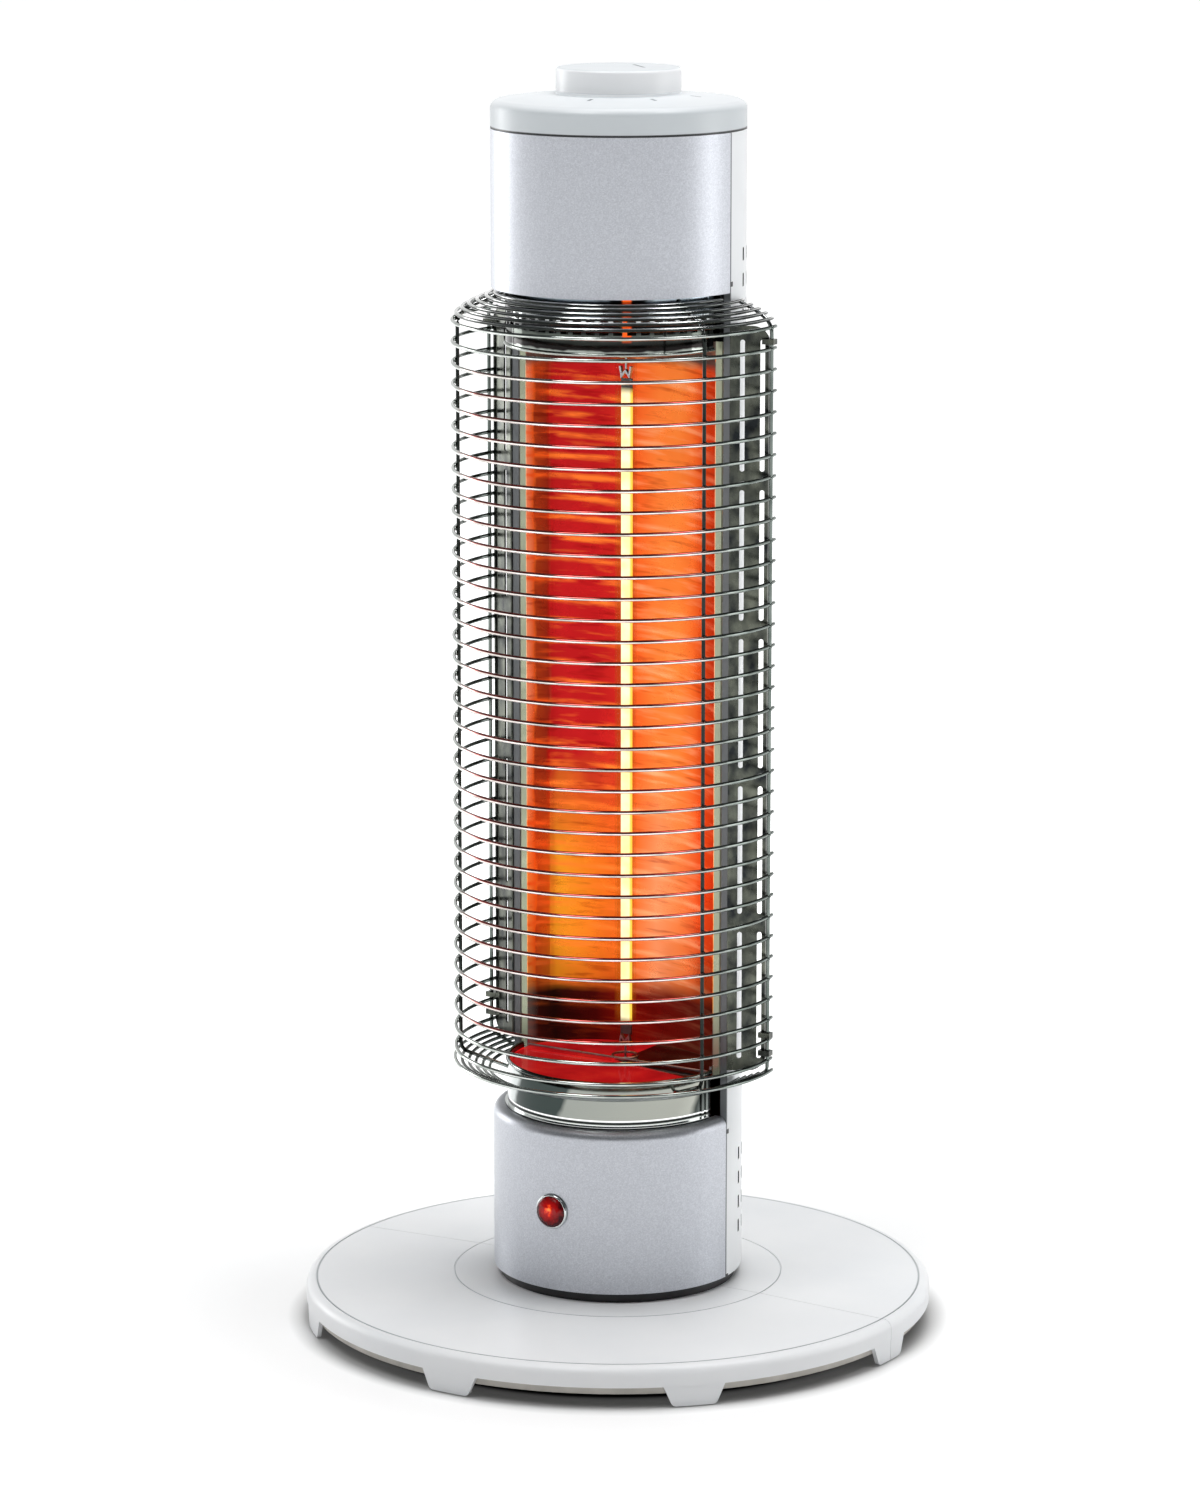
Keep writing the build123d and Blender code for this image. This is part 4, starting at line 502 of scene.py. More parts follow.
def mesh_object(name, points, faces, smooth):
    """An object from point and face arrays, with doubled points merged, open ends closed and
    faces turned outwards."""
    mesh = bpy.data.meshes.new(name)
    mesh.from_pydata(points.tolist(), [], faces.tolist())
    made = bpy.data.objects.new(name, mesh)
    bpy.context.collection.objects.link(made)
    work = bmesh.new()
    work.from_mesh(mesh)
    bmesh.ops.remove_doubles(work, verts=work.verts, dist=0.002 * MM)
    bmesh.ops.holes_fill(work, edges=[edge for edge in work.edges if edge.is_boundary])
    bmesh.ops.recalc_face_normals(work, faces=work.faces)
    work.to_mesh(mesh)
    work.free()
    mesh.shade_smooth() if smooth else mesh.shade_flat()
    return made


def upright_skin(name, outline, levels):
    """A flat closed outline [corner, xy] carried straight up through the levels."""
    flat = np.broadcast_to(outline, (len(levels), len(outline), 2))
    high = np.broadcast_to(levels[:, None, None], (len(levels), len(outline), 1))
    points = np.concatenate([flat, high], axis=-1)
    number = np.arange(len(levels) * len(outline)).reshape(len(levels), len(outline))
    return mesh_object(name, points.reshape(-1, 3), quads(number), smooth=False)


half_width = 50.0 * MM
trough_depth = 33.0 * MM
mouth_y = 1.5 * MM
sheet_wall = 0.8 * MM
flange = 3.3 * MM
trough_low = 120.6 * MM
trough_high = 457.9 * MM
# the sheet's first two bends are creases; beyond them it is rolled to half an ellipse
creases = np.array([0.0, 0.17, 0.40])
rolled = np.linspace(0.46, math.pi - 0.46, 72)
sweep = np.concatenate([creases, rolled, math.pi - creases[::-1]])
bowl = np.stack([-np.cos(sweep), np.sin(sweep)], -1)
mouth = np.array([0.0, mouth_y])
inner = mouth + bowl * (half_width, trough_depth)
outer = mouth + bowl * (half_width + sheet_wall, trough_depth + sheet_wall)
half_wall = np.array([0.0, sheet_wall / 2])
flange_end = np.array([half_width + flange, 0.0])
outline = np.concatenate(
    [
        [mouth - flange_end - half_wall],
        inner[:1] - half_wall,
        inner,
        inner[-1:] - half_wall,
        [mouth + flange_end - half_wall, mouth + flange_end + half_wall],
        outer[::-1] + half_wall,
        [mouth - flange_end + half_wall],
    ]
)
reflector = upright_skin("reflector_trough", outline, np.linspace(trough_low, trough_high, 60))

# Bright-rolled aluminium: a mirror that is a little blurred, more in some patches than others.
painted_glow_mirror, tree, shader = start_material("mirror_sheet_painted_glow", metallic=1.0)
place = add_node(tree, "TexCoord", output="Object")
x, y, z = add_node(tree, "SeparateXYZ", place).node.outputs
# round the trough: 0 at the left edge and 1 at the right edge, by the angle of its ellipse
deep = add_node(tree, "Math MULTIPLY", add_node(tree, "Math ADD", y, -mouth_y), 1 / trough_depth)
left = add_node(tree, "Math MULTIPLY", x, -1 / half_width)
turned = add_node(tree, "Math ARCTAN2", deep, left)
blotches = add_node(tree, "TexNoise", place, 1 / (26 * MM), 3.0)
waver = sway(tree, 0.0, blotches, 0.05)
round_share = add_node(
    tree, "Math ADD", add_node(tree, "Math MULTIPLY", turned, 1 / math.pi), waver
)
# painted reflection of the glowing strip, crimson and orange round the trough, darker at its foot and
# head
glow_fields = [
    [
        (0.005, "#F0B080"), (0.045, "#E07A34"), (0.058, "#984420"), (0.115, "#8A3420"),
        (0.135, "#A81A1C"), (0.30, "#A8181A"), (0.40, "#B8241C"), (0.43, "#D8541E"),
        (0.50, "#DE6E2E"), (0.58, "#E07430"), (0.68, "#D4561C"), (0.76, "#C0441A"),
        (0.84, "#A85A38"), (0.92, "#8E8A78"), (1.0, "#A9AFA0"),
    ],
    [
        (0.005, "#F0A050"), (0.05, "#E87020"), (0.062, "#C0501C"), (0.115, "#C8661C"),
        (0.16, "#D4841E"), (0.30, "#D4661A"), (0.40, "#D0521A"), (0.43, "#DC6226"),
        (0.50, "#DC8052"), (0.58, "#DA703A"), (0.68, "#D45220"), (0.76, "#C0421A"),
        (0.84, "#A45034"), (0.92, "#8A7E68"), (1.0, "#A9AFA0"),
    ],
    [
        (0.0, "#6E6A62"), (0.06, "#3A1812"), (0.14, "#24100C"), (0.30, "#4A0E0C"),
        (0.42, "#84180E"), (0.52, "#6E1610"), (0.74, "#5E2014"), (0.88, "#4A2A20"), (1.0, "#7A7A72"),
    ],
    [(0.0, "#6A665E"), (0.14, "#2A211E"), (0.42, "#4A2A1E"), (0.6, "#3A332E"), (1.0, "#77776E")],
]
upper_glow, lower_glow, foot_glow, head_glow = [
    add_node(tree, "ValToRGB", round_share, stops=stops) for stops in glow_fields
]
to_low = add_node(tree, "MapRange", add_node(tree, "Math ADD", z, waver), 262 * MM, 205 * MM)
foot_edge = add_node(tree, "Math ADD", z, add_node(tree, "Math MULTIPLY", waver, 0.15))
head_edge = add_node(tree, "Math ADD", z, add_node(tree, "Math MULTIPLY", waver, 0.1))
to_foot = add_node(tree, "MapRange", foot_edge, 152 * MM, 144 * MM)
to_head = add_node(tree, "MapRange", head_edge, 439.5 * MM, 443.5 * MM)
trough_painted_glow = upper_glow
for share, glow in ((to_low, lower_glow), (to_foot, foot_glow), (to_head, head_glow)):
    trough_painted_glow = add_node(tree, "Mix", share, trough_painted_glow, glow)
# Painted reflections of the guard's rings: one slanting orange line to each, broken up by the
# blotches.
ring_low = 129.0 * MM
ring_step = 9.6 * MM
rings_up = add_node(tree, "Math MULTIPLY", add_node(tree, "Math ADD", z, -ring_low), 1 / ring_step)
slanted = add_node(tree, "Math ADD", rings_up, add_node(tree, "Math MULTIPLY", turned, 0.387))
stretched = add_node(
    tree, "CombineXYZ", add_node(tree, "Math MULTIPLY", turned, 0.7), slanted
)
streaks = add_node(tree, "TexNoise", stretched, 2.4, 3.0, 0.55)
off_line = add_node(tree, "Math FLOORED_MODULO", add_node(tree, "Math ADD", slanted, 0.29), 1.0)
off_line = add_node(tree, "Math ABSOLUTE", add_node(tree, "Math ADD", off_line, -0.5))
on_right = add_node(tree, "MapRange", round_share, 0.38, 0.50)
calm = add_node(tree, "MapRange", to_foot, 0.0, 1.0, 1.0, 0.25)
painted_ring_reflections = all_of(
    tree,
    add_node(tree, "MapRange", off_line, 0.2, 0.05),
    add_node(tree, "MapRange", streaks, 0.40, 0.62),
    add_node(tree, "MapRange", on_right, 0.0, 1.0, 0.95, 0.35),
    calm,
)
streak_tone = add_node(tree, "Mix", on_right, linear("#E8702A"), linear("#F0B080"))
# painted bright and dark streaks in the reflection
bright = all_of(tree, add_node(tree, "MapRange", streaks, 0.56, 0.72), 0.35, calm)
dark = all_of(tree, add_node(tree, "MapRange", streaks, 0.42, 0.30), 0.45)
trough_painted_glow = add_node(tree, "Mix", painted_ring_reflections, trough_painted_glow, streak_tone)
trough_painted_glow = add_node(tree, "Mix", bright, trough_painted_glow, streak_tone)
trough_painted_glow = add_node(tree, "Mix MULTIPLY", dark, trough_painted_glow, linear("#A01810"))
# the flat flanges outside the trough are painted pale, without the red glow
on_flange = add_node(tree, "MapRange", add_node(tree, "Math ABSOLUTE", left), 1.004, 1.008)
trough_painted_glow = add_node(tree, "Mix", on_flange, trough_painted_glow, linear("#8C907C"))
tree.links.new(trough_painted_glow, shader.inputs["Base Color"])
tree.links.new(trough_painted_glow, shader.inputs["Emission Color"])
# painted glow: the sheet gives off its painted colour as light
shader.inputs["Emission Strength"].default_value = 0.35
mottle_gloss(tree, shader, place, 18, 0.22, 0.36)
reflector.data.materials.append(painted_glow_mirror)
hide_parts("reflector")
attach(reflector, "column")

# Heating tube, and the lamp's bulb: drawn clear quartz with sealed ends. Where the tube is hot, the
# strip's light in it is painted on as a glow.
quartz, tree, shader = start_material("clear_quartz", ior=1.458)
shader.inputs["Base Color"].default_value = linear("#3A1A0A")
shader.inputs["Specular IOR Level"].default_value = 0.04
shader.inputs["Emission Color"].default_value = linear("#FF8A10")
place = add_node(tree, "TexCoord", output="Object")
z = add_node(tree, "SeparateXYZ", place, output="Z")
hot = band(tree, z, (136 * MM, 142 * MM), (434 * MM, 431 * MM))
# painted glow along the tube's hot length
tree.links.new(all_of(tree, hot, 0.35), shader.inputs["Emission Strength"])
tree.links.new(add_node(tree, "MapRange", hot, 0.0, 1.0, 0.05, 0.10), shader.inputs["Alpha"])
mottle_gloss(tree, shader, place, 9, 0.03, 0.07)
paint(quartz, "quartz_tube", "lamp_bulb")

# Graphite strip: a thin dark-grey ribbon cut from sheet, held by a spring clip at each end. All
# but its ends glow yellow-white, yellower along the edge that is cooled by the rising air.
strip_corners = [(-2.4, 6.3), (0.0, 6.3), (2.6, 6.3), (3.4, 6.3), (3.4, 6.9), (-2.4, 6.9)]
strip_levels = np.linspace(132.0 * MM, 437.5 * MM, 48)
strip = upright_skin("graphite_strip", np.array(strip_corners) * MM, strip_levels)
graphite, tree, shader = start_material("glowing_graphite", ior=2.0)
shader.inputs["Base Color"].default_value = linear("#2A2622")
place = add_node(tree, "TexCoord", output="Object")
x, y, z = add_node(tree, "SeparateXYZ", place).node.outputs
heat = add_node(tree, "TexNoise", place, 1 / (9 * MM), 2.0)
hot = band(tree, z, (137.5 * MM, 140.5 * MM), (433.5 * MM, 430.0 * MM))
glow = add_node(tree, "ValToRGB", heat, stops=[(0.35, "#FFEE9E"), (0.65, "#FFF7CC")])
cooler = add_node(tree, "MapRange", x, 2.0 * MM, 2.8 * MM)
glow = add_node(tree, "Mix", cooler, glow, linear("#F4C840"))
tree.links.new(glow, shader.inputs["Emission Color"])
tree.links.new(all_of(tree, hot, 1.5), shader.inputs["Emission Strength"])
mottle_gloss(tree, shader, place, 5, 0.5, 0.7)
strip.data.materials.append(graphite)
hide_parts("graphite_element")
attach(strip, "column")


# Wire guard: thirty-six rings of steel wire and two cones of smaller rings, spot-welded to four
# uprights and chrome plated. Each wire's end is rounded, and each weld leaves a flattened nub.
def wire_skins(centres, sides=10, ends=4):
    """Round wires [wire, along, xyz]: circles square to each path, whose last few shrink on a
    quarter circle so that both ends are domed. Gives points and faces."""
    tangent = np.gradient(centres, axis=1)
    tangent /= np.linalg.norm(tangent, axis=-1, keepdims=True)
    side = np.cross(tangent, [0.13, 0.09, 0.99])
    side /= np.linalg.norm(side, axis=-1, keepdims=True)
    up = np.cross(side, tangent)
    lean = np.linspace(0, np.pi / 2, ends)[:-1]
    reach = (wire_radius * np.cos(lean))[:, None]
    before = centres[:, :1] - tangent[:, :1] * reach
    after = centres[:, -1:] + tangent[:, -1:] * reach[::-1]
    path = np.concatenate([before, centres, after], axis=1)
    size = np.concatenate([np.sin(lean), np.ones(centres.shape[1]), np.sin(lean[::-1])])
    more = ((0, 0), (ends - 1, ends - 1), (0, 0))
    side, up = np.pad(side, more, mode="edge"), np.pad(up, more, mode="edge")
    turn = np.linspace(0, 2 * np.pi, sides, endpoint=False)[:, None]
    rim = side[:, :, None] * np.cos(turn) + up[:, :, None] * np.sin(turn)
    points = path[:, :, None] + rim * (wire_radius * size)[:, None, None]
    number = np.arange(points[..., 0].size).reshape(points.shape[:-1])
    return points.reshape(-1, 3), quads(number)


def ring_paths(radii, heights, half_angle, steps=84):
    """Arcs about the axis, symmetrical about the front: radius times sine and minus cosine."""
    bearing = np.linspace(-half_angle, half_angle, steps)
    radii = np.array(radii)[:, None]
    level = np.broadcast_to(np.array(heights)[:, None], (len(radii), steps))
    return np.stack([radii * np.sin(bearing), -radii * np.cos(bearing), level], axis=-1)


def upright_path(bearing, corners, steps=260, rounding=5):
    """A path of radius and height in the plane of a bearing: straight runs whose corners are
    rounded by averaging each point with its neighbours along the path."""
    corners = np.array(corners) * MM
    run = np.concatenate([[0], np.cumsum(np.hypot(*np.diff(corners, axis=0).T))])
    along = np.linspace(0, run[-1], steps)
    lines = np.stack([np.interp(along, run, corners[:, axis]) for axis in (0, 1)])
    reach = rounding // 2
    lines = np.pad(lines, ((0, 0), (reach, reach)), mode="reflect", reflect_type="odd")
    window = np.ones(rounding) / rounding
    radius, level = [np.convolve(line, window, "valid") for line in lines]
    return np.stack([radius * math.sin(bearing), -radius * math.cos(bearing), level], -1)[None]


def nub_skins(centres, outward, size, sides=8, rows=5):
    """Flattened domes: an ellipsoid of size (along, up, out) at each centre, as rows of circles
    from pole to pole along the outward direction."""
    turn = np.linspace(0, 2 * np.pi, sides, endpoint=False)
    tilt = np.linspace(0, np.pi, rows)[:, None]
    shape = np.stack(
        [
            np.sin(tilt) * np.cos(turn) * size[0],
            np.sin(tilt) * np.sin(turn) * size[1],
            np.broadcast_to(np.cos(tilt) * size[2], (rows, sides)),
        ],
        -1,
    )
    axes = np.stack([np.cross([0, 0, 1.0], outward), [0, 0, 1.0], outward])
    points = centres[:, None, None] + shape @ axes
    number = np.arange(len(centres) * rows * sides).reshape(-1, rows, sides)
    return points.reshape(-1, 3), quads(number)


wire_radius = 0.88 * MM
ring_radius = 74.9 * MM
ring_heights = ring_low + ring_step * np.arange(36)
half_opening = math.radians(100.4)
rod_bearings = [math.radians(bearing) for bearing in (96.3, -96.3, 62.6, -62.6)]
nub_size = (1.5 * MM, 1.25 * MM, 1.3 * MM)
# radius and height of each smaller ring, and the uprights' corners, in millimetres
cone_low = [(75.3 - 3.2 * i, 123.5 - 1.15 * i) for i in range(6)]
cone_high = [(73.2, 468.5), (70.4, 470.8), (67.2, 472.6), (63.5, 474.3), (59.4, 476.0)]
cone = np.array(cone_low + cone_high) * MM
end_rod = [(58.8, 117.4), (75.2, 123.2), (75.2, 466.0), (70.4, 470.8), (58.8, 476.2)]
front_rod = [(48.9, 116.2), (72.9, 124.9), (72.9, 465.5), (68.2, 469.9), (48.5, 478.35)]
parts = [
    wire_skins(ring_paths(np.full(36, ring_radius), ring_heights, half_opening)),
    wire_skins(ring_paths(cone[:, 0], cone[:, 1], half_opening)),
    wire_skins(ring_paths([55.5 * MM], [477.2 * MM], math.radians(87))),
]
for bearing, rod in zip(rod_bearings, (end_rod, end_rod, front_rod, front_rod)):
    parts.append(wire_skins(upright_path(bearing, rod)))
for bearing, weld_radius in zip(rod_bearings, (75.1 * MM, 75.1 * MM, 73.9 * MM, 73.9 * MM)):
    outward = np.array([math.sin(bearing), -math.cos(bearing), 0.0])
    welds = outward * weld_radius + np.array([0, 0, 1.0]) * ring_heights[:, None]
    parts.append(nub_skins(welds, outward, nub_size))
starts = np.cumsum([0] + [len(points) for points, _ in parts[:-1]])
guard = mesh_object(
    "wire_guard_rings",
    np.concatenate([points for points, _ in parts]),
    np.concatenate([faces + start for (_, faces), start in zip(parts, starts)]),
    smooth=True,
)

# Bright chrome over drawn wire: mirror-like, with slow flecks where the polish is thinner.
wire_chrome, tree, shader = start_material("plated_wire", metallic=1.0)
place, x, y, z, radius, bearing = about_axis(tree)
# painted reflection: the rings are painted paler at the front and darker towards the sides and the
# back
wire_painted_reflection = add_node(
    tree,
    "ValToRGB",
    add_node(tree, "MapRange", y, -75 * MM, 12 * MM),
    stops=[(0.0, "#DCE0DC"), (0.35, "#C4C8C4"), (0.7, "#828A85"), (1.0, "#727A76")],
)
wire_up = add_node(tree, "SeparateXYZ", add_node(tree, "TexCoord", output="Normal"), output="Z")
# painted reflection: in front of the glow each ring's upper half is painted dark red, for the
# mirrored trough, and its lower half pale
over_glow = all_of(
    tree,
    add_node(tree, "MapRange", y, -30 * MM, -45 * MM),
    add_node(tree, "MapRange", x, -52 * MM, -30 * MM),
    band(tree, z, (140 * MM, 146 * MM), (448 * MM, 444 * MM)),
    0.85,
)
glow_side = add_node(tree, "MapRange", wire_up, 0.05, 0.35)
painted_glow_reflection = add_node(tree, "Mix", glow_side, linear("#FFF2EE"), linear("#D03228"))
wire_painted_reflection = add_node(tree, "Mix", over_glow, wire_painted_reflection, painted_glow_reflection)
# painted reflection: the upper cone stands before the dark neck, and its wires are painted bright
# above and near black below
sky_side = add_node(tree, "MapRange", wire_up, 0.15, 0.45)
cone_painted_reflection = add_node(tree, "Mix", sky_side, linear("#3A3E3C"), linear("#FFFFFF"))
on_cone = add_node(tree, "MapRange", z, 466.5 * MM, 467.5 * MM)
wire_painted_reflection = add_node(tree, "Mix", on_cone, wire_painted_reflection, cone_painted_reflection)
# painted reflection: the front uprights, which stand inside the rings, are painted dark for the dark
# room they mirror
upright = all_of(
    tree,
    add_node(tree, "MapRange", radius, 73.85 * MM, 73.8 * MM),
    band(tree, z, (120 * MM, 124 * MM), (466.5 * MM, 465.5 * MM)),
)
wire_painted_reflection = add_node(tree, "Mix", upright, wire_painted_reflection, linear("#2E3230"))
flecks = add_node(tree, "TexNoise", place, 1 / (16 * MM), 3.0)
fleck_tone = add_node(tree, "ValToRGB", flecks, stops=[(0.35, "#B4BAB6"), (0.62, "#FFFFFF")])
tree.links.new(
    add_node(tree, "Mix MULTIPLY", 0.8, wire_painted_reflection, fleck_tone), shader.inputs["Base Color"]
)
mottle_gloss(tree, shader, place, 14, 0.05, 0.12)
guard.data.materials.append(wire_chrome)
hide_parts("wire_guard", "guard_uprights")
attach(guard, "column")

# Side panels: slotted strips of polished stainless sheet, screwed to the cover's edges. Their colour
# is mottled between near-black and a dull grey.
stainless, tree, shader = start_material("mottled_stainless", metallic=1.0)
place = grain(tree, shader, 0.8, 0.006)
upright_place = add_node(tree, "Mapping", place, None, None, (1, 1, 0.6))
tint(tree, shader, upright_place, 7, "#25282A", "#63665C")
mottle_gloss(tree, shader, place, 9, 0.16, 0.36)
paint(stainless, "left_side_panel", "right_side_panel")

# Rear cover: one half-round moulding of white ABS over the whole height, screwed on from behind.
# Its inside and the slots' sides and edges are painted dark as shade, since those walls never see the
# light, and its foot is painted paler, as light from the floor.
# large mouldings vary in tone more smoothly than the base and the knob
large_moulding = {"detail": 3.0, "low": 0.3, "high": 0.7}
cover_abs, tree, shader, cover_tone = moulded_abs(
    "moulded_white_cover", "#D8DBDD", "#DEE0E2", **large_moulding
)
place, x, y, z, radius, bearing = about_axis(tree)
# painted light: the cover is painted paler towards its foot, as if lit from the floor
lit_from_floor = add_node(tree, "MapRange", z, 140 * MM, 60 * MM)
cover_tone = add_node(tree, "Mix", lit_from_floor, cover_tone, linear("#F0F2F3"))
# faces that look along the cover, not outwards, are the slots' sides
normal = add_node(tree, "TexCoord", output="Normal")
nx, ny = add_node(tree, "SeparateXYZ", normal).node.outputs[:2]
outward = add_node(
    tree,
    "Math ADD",
    add_node(tree, "Math MULTIPLY", nx, x),
    add_node(tree, "Math MULTIPLY", ny, y),
)
outward = add_node(tree, "Math DIVIDE", outward, radius)
# painted shade on the inside and on the slots' sides
slot_side = add_node(tree, "Math LESS_THAN", outward, 0.75)
inner_side = add_node(tree, "MapRange", radius, 57.2 * MM, 56.9 * MM)
behind_seam = add_node(tree, "MapRange", y, 3.0 * MM, 3.4 * MM)
painted_shade_inside = all_of(
    tree, add_node(tree, "Math MAXIMUM", inner_side, slot_side), behind_seam
)


def off_row(tree, value, first, step):
    """How far a value is from the nearest of a row of places: first, first plus step, and so on."""
    moved = add_node(tree, "Math ADD", value, step / 2 - first)
    moved = add_node(tree, "Math FLOORED_MODULO", moved, step)
    return add_node(tree, "Math ABSOLUTE", add_node(tree, "Math ADD", moved, -step / 2))


# the edges of the slots get painted shade too: on either side, two blocks of four rows of six
slot_step = math.radians(9)
first_slot = math.radians(107)
row_step = 11.6 * MM
row_reach = 3.0 * MM
either_side = add_node(tree, "Math ABSOLUTE", bearing)
off_slot = all_of(tree, off_row(tree, either_side, first_slot, slot_step), radius)
slot_columns = all_of(
    tree,
    add_node(tree, "Math LESS_THAN", off_slot, 1.2 * MM),
    add_node(tree, "Math GREATER_THAN", y, 15.5 * MM),
    add_node(tree, "Math LESS_THAN", y, 51.5 * MM),
)
slot_rows = 0.0
for first_row in (45.8 * MM, 461.2 * MM):
    rows = all_of(
        tree,
        add_node(tree, "Math GREATER_THAN", z, first_row - 2.9 * MM),
        add_node(tree, "Math LESS_THAN", z, first_row + 37.7 * MM),
        add_node(tree, "Math LESS_THAN", off_row(tree, z, first_row, row_step), row_reach),
    )
    slot_rows = add_node(tree, "Math MAXIMUM", slot_rows, rows)
painted_shade_inside = add_node(
    tree, "Math MAXIMUM", painted_shade_inside, all_of(tree, slot_columns, slot_rows)
)
# the joint with the front shells is a thin shaded line, with a small dark notch at each clip
seam = all_of(tree, add_node(tree, "MapRange", y, 2.0 * MM, 1.7 * MM), 0.85)
near_clip = 0.0
for clip_z in (483.8 * MM, 94.5 * MM, 25.5 * MM):
    off_clip = add_node(tree, "Math ABSOLUTE", add_node(tree, "Math ADD", z, -clip_z))
    here = add_node(tree, "Math LESS_THAN", off_clip, 1.1 * MM)
    near_clip = add_node(tree, "Math MAXIMUM", near_clip, here)
notch = all_of(tree, add_node(tree, "Math LESS_THAN", y, 3.6 * MM), near_clip)
cover_tone = add_node(tree, "Mix", seam, cover_tone, linear("#3C4246"))
cover_tone = add_node(tree, "Mix", notch, cover_tone, linear("#101214"))
cover_tone = add_node(tree, "Mix", painted_shade_inside, cover_tone, linear("#141616"))
tree.links.new(cover_tone, shader.inputs["Base Color"])
paint(cover_abs, "rear_cover")

# Top cap: white ABS, held by three screws from inside the column, with three moulded-in grey ticks
# for the knob's settings. Its white is painted greyer than the base's and darker still on its side,
# as shade, and its joint with the column is painted dark as deep shade.
cap_abs, tree, shader, cap_tone = moulded_abs(
    "moulded_white_cap", "#D2D6D9", "#D9DCDE", **large_moulding
)
place, x, y, z, radius, bearing = about_axis(tree)
up_turn = add_node(tree, "SeparateXYZ", add_node(tree, "TexCoord", output="Normal"), output="Z")
# painted shade on the cap's side
on_side = add_node(tree, "MapRange", up_turn, 0.8, 0.3)
cap_tone = add_node(tree, "Mix MULTIPLY", on_side, cap_tone, linear("#E2E5E6"))
# painted shade in the joint with the column
in_joint = add_node(tree, "MapRange", z, 552.2 * MM, 551.8 * MM)
cap_tone = add_node(tree, "Mix", in_joint, cap_tone, linear("#15181A"))
first_tick = 0.1964  # bearing, in radians; the ticks are an eighth of a turn apart
off_tick = all_of(tree, off_row(tree, bearing, first_tick, math.pi / 4), radius)
tick = all_of(
    tree,
    add_node(tree, "MapRange", off_tick, 0.9 * MM, 0.7 * MM),
    band(tree, radius, (33.8 * MM, 34.1 * MM), (39.2 * MM, 38.9 * MM)),
    band(tree, bearing, (0.0, 0.02), (2.0, 1.98)),
    add_node(tree, "MapRange", z, 563.0 * MM, 563.5 * MM),
)
cap_tone = add_node(tree, "Mix", tick, cap_tone, linear("#6E747A"))
tree.links.new(cap_tone, shader.inputs["Base Color"])
# painted light: the cap glows faintly white just under the knob's edge
painted_light_under_knob = all_of(
    tree,
    add_node(tree, "MapRange", radius, 28.4 * MM, 28.1 * MM),
    add_node(tree, "MapRange", z, 566.0 * MM, 566.5 * MM),
    0.5,
)
shader.inputs["Emission Color"].default_value = linear("#DDE0E2")
tree.links.new(painted_light_under_knob, shader.inputs["Emission Strength"])
paint(cap_abs, "top_cap")

# Knob: white ABS moulded in one shot, pushed on to the switch's shaft. Its top is painted a little
# greyer than its side, as shade, and a grey moulded inlay in it points to the setting.
knob_abs, tree, shader, side_tone = moulded_abs("moulded_white_knob", "#E7E9EB", "#EDEEEF")
up_turn = add_node(tree, "SeparateXYZ", add_node(tree, "TexCoord", output="Normal"), output="Z")
# painted shade on the knob's top
on_top = add_node(tree, "MapRange", up_turn, 0.6, 0.9)
knob_tone = add_node(tree, "Mix", on_top, side_tone, linear("#CFD3D6"))
tree.links.new(knob_tone, shader.inputs["Base Color"])
paint(knob_abs, "control_knob")
grey_abs, tree, shader = start_material("grey_abs", 0.4, ior=1.54)
place = grain(tree, shader, 0.5, 0.004)
tint(tree, shader, place, 4, "#767A80", "#82868C")
paint(grey_abs, "knob_pointer")

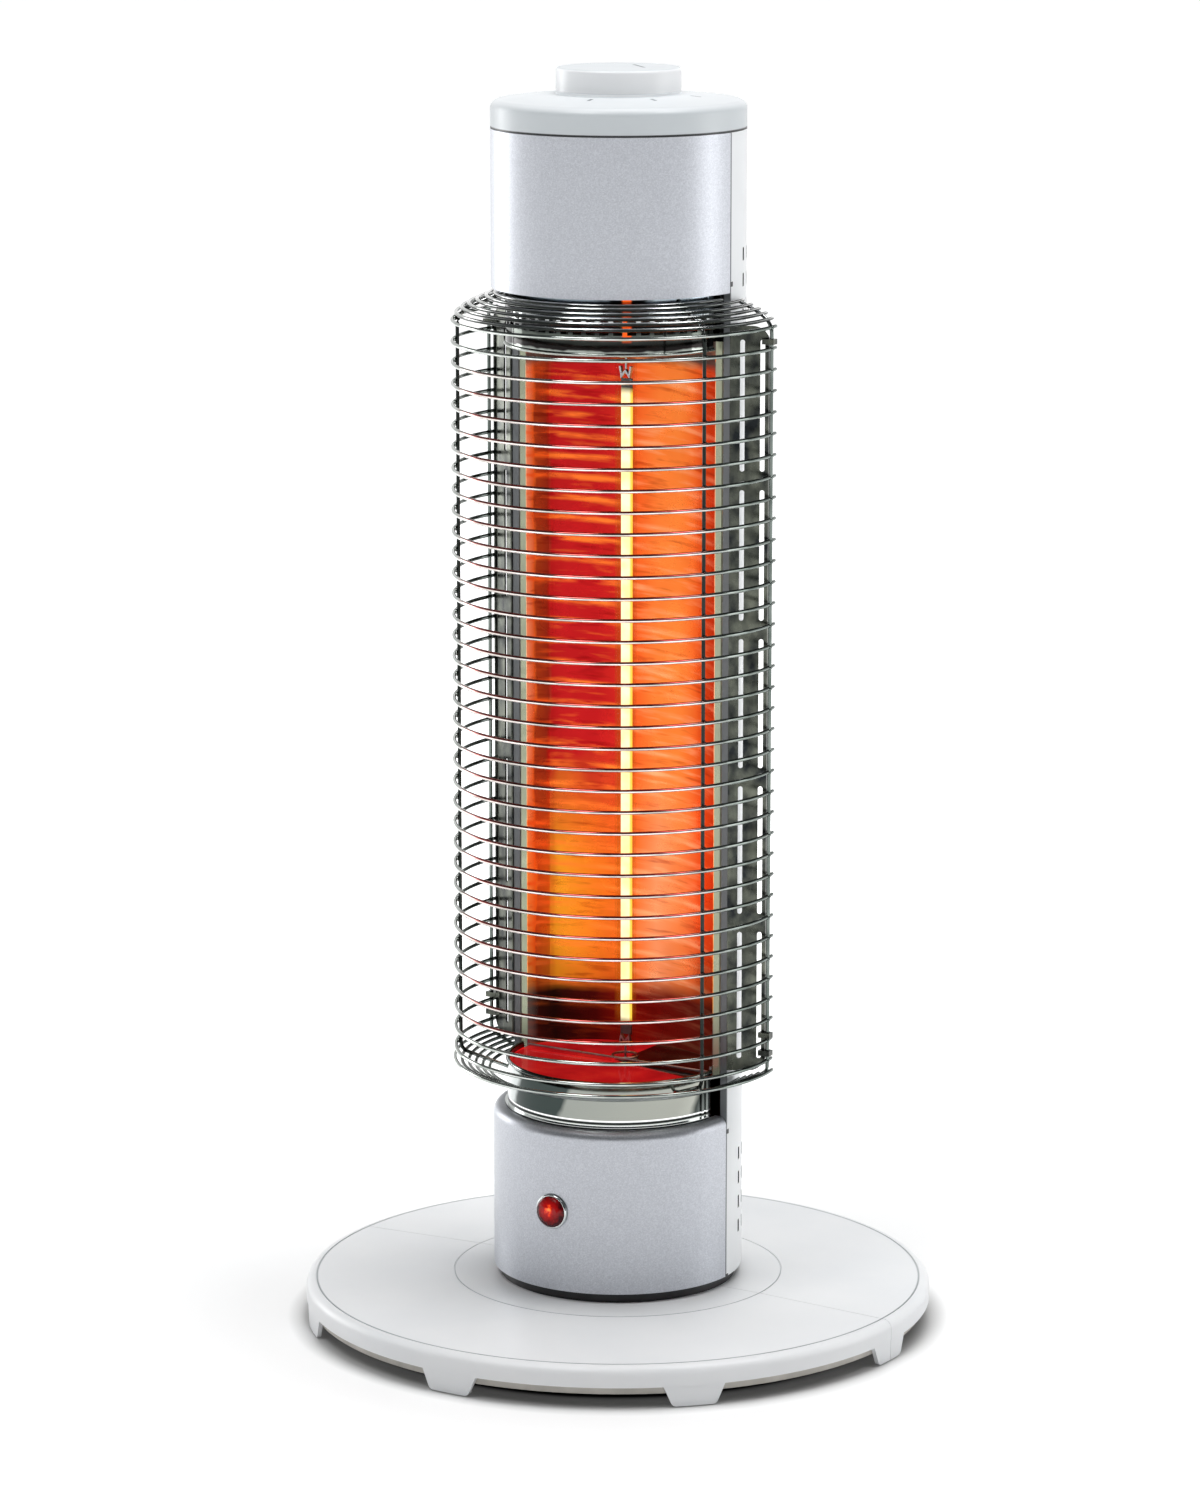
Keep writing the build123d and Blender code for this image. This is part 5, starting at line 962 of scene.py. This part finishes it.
# Power lamp: a bezel, bright chrome plated, through the lower front shell, and over it a lens
# moulded in clear red acrylic with flat facets. The bulb shows through it as one hot spot.
chrome, tree, shader = start_material("bright_chrome_plate", metallic=1.0)
place = add_node(tree, "TexCoord", output="Object")
mottle_gloss(tree, shader, place, 14, 0.05, 0.12)
tint(tree, shader, place, 18, "#CCD0CE", "#E2E5E4")
paint(chrome, "lamp_bezel")

lens_z = 62.7 * MM
lens_facets = 20
# radius, and depth from the axis, of each row of facets; every other row is turned by half a facet
lens_rows = [
    (0.0, -58.92), (7.3, -58.92), (7.2, -59.5), (6.3, -60.5), (4.6, -61.4), (2.6, -61.9),
    (0.0, -62.2),
]
row_radius, row_y = np.array(lens_rows).T[:, :, None] * MM
half_facet = np.arange(-1, len(lens_rows) - 1)[:, None] % 2 * np.pi / lens_facets
lens_turn = np.arange(lens_facets) * (2 * np.pi / lens_facets) + half_facet
lens_points = np.stack(
    [
        row_radius * np.sin(lens_turn),
        np.broadcast_to(row_y, lens_turn.shape),
        lens_z + row_radius * np.cos(lens_turn),
    ],
    -1,
)
lens_number = np.arange(lens_turn.size).reshape(lens_turn.shape)
lens = mesh_object("lamp_lens_cut", lens_points.reshape(-1, 3), quads(lens_number), smooth=False)
red_lens, tree, shader = start_material("faceted_red_lens", ior=1.49)
place = add_node(tree, "TexCoord", output="Object")
wobble = add_node(tree, "TexNoise", place, 1 / (2.2 * MM), 3.0)
spot_place = (0.7 * MM, -62.0 * MM, lens_z + 1.7 * MM)
from_spot = sway(tree, add_node(tree, "VectorMath DISTANCE", place, spot_place), wobble, 6 * MM)
lens_tone = add_node(
    tree,
    "ValToRGB",
    add_node(tree, "MapRange", from_spot, 0.0, 9.5 * MM),
    stops=[
        (0.0, "#FF9040"), (0.12, "#E43A1A"), (0.24, "#A01012"), (0.52, "#7A0A0C"), (0.74, "#30040A"),
    ],
)
tree.links.new(lens_tone, shader.inputs["Base Color"])
tree.links.new(lens_tone, shader.inputs["Emission Color"])
shader.inputs["Emission Strength"].default_value = 0.45
shader.inputs["Specular IOR Level"].default_value = 0.25
mottle_gloss(tree, shader, place, 2, 0.08, 0.18)
lens.data.materials.append(red_lens)
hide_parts("lamp_lens")
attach(lens, "column")
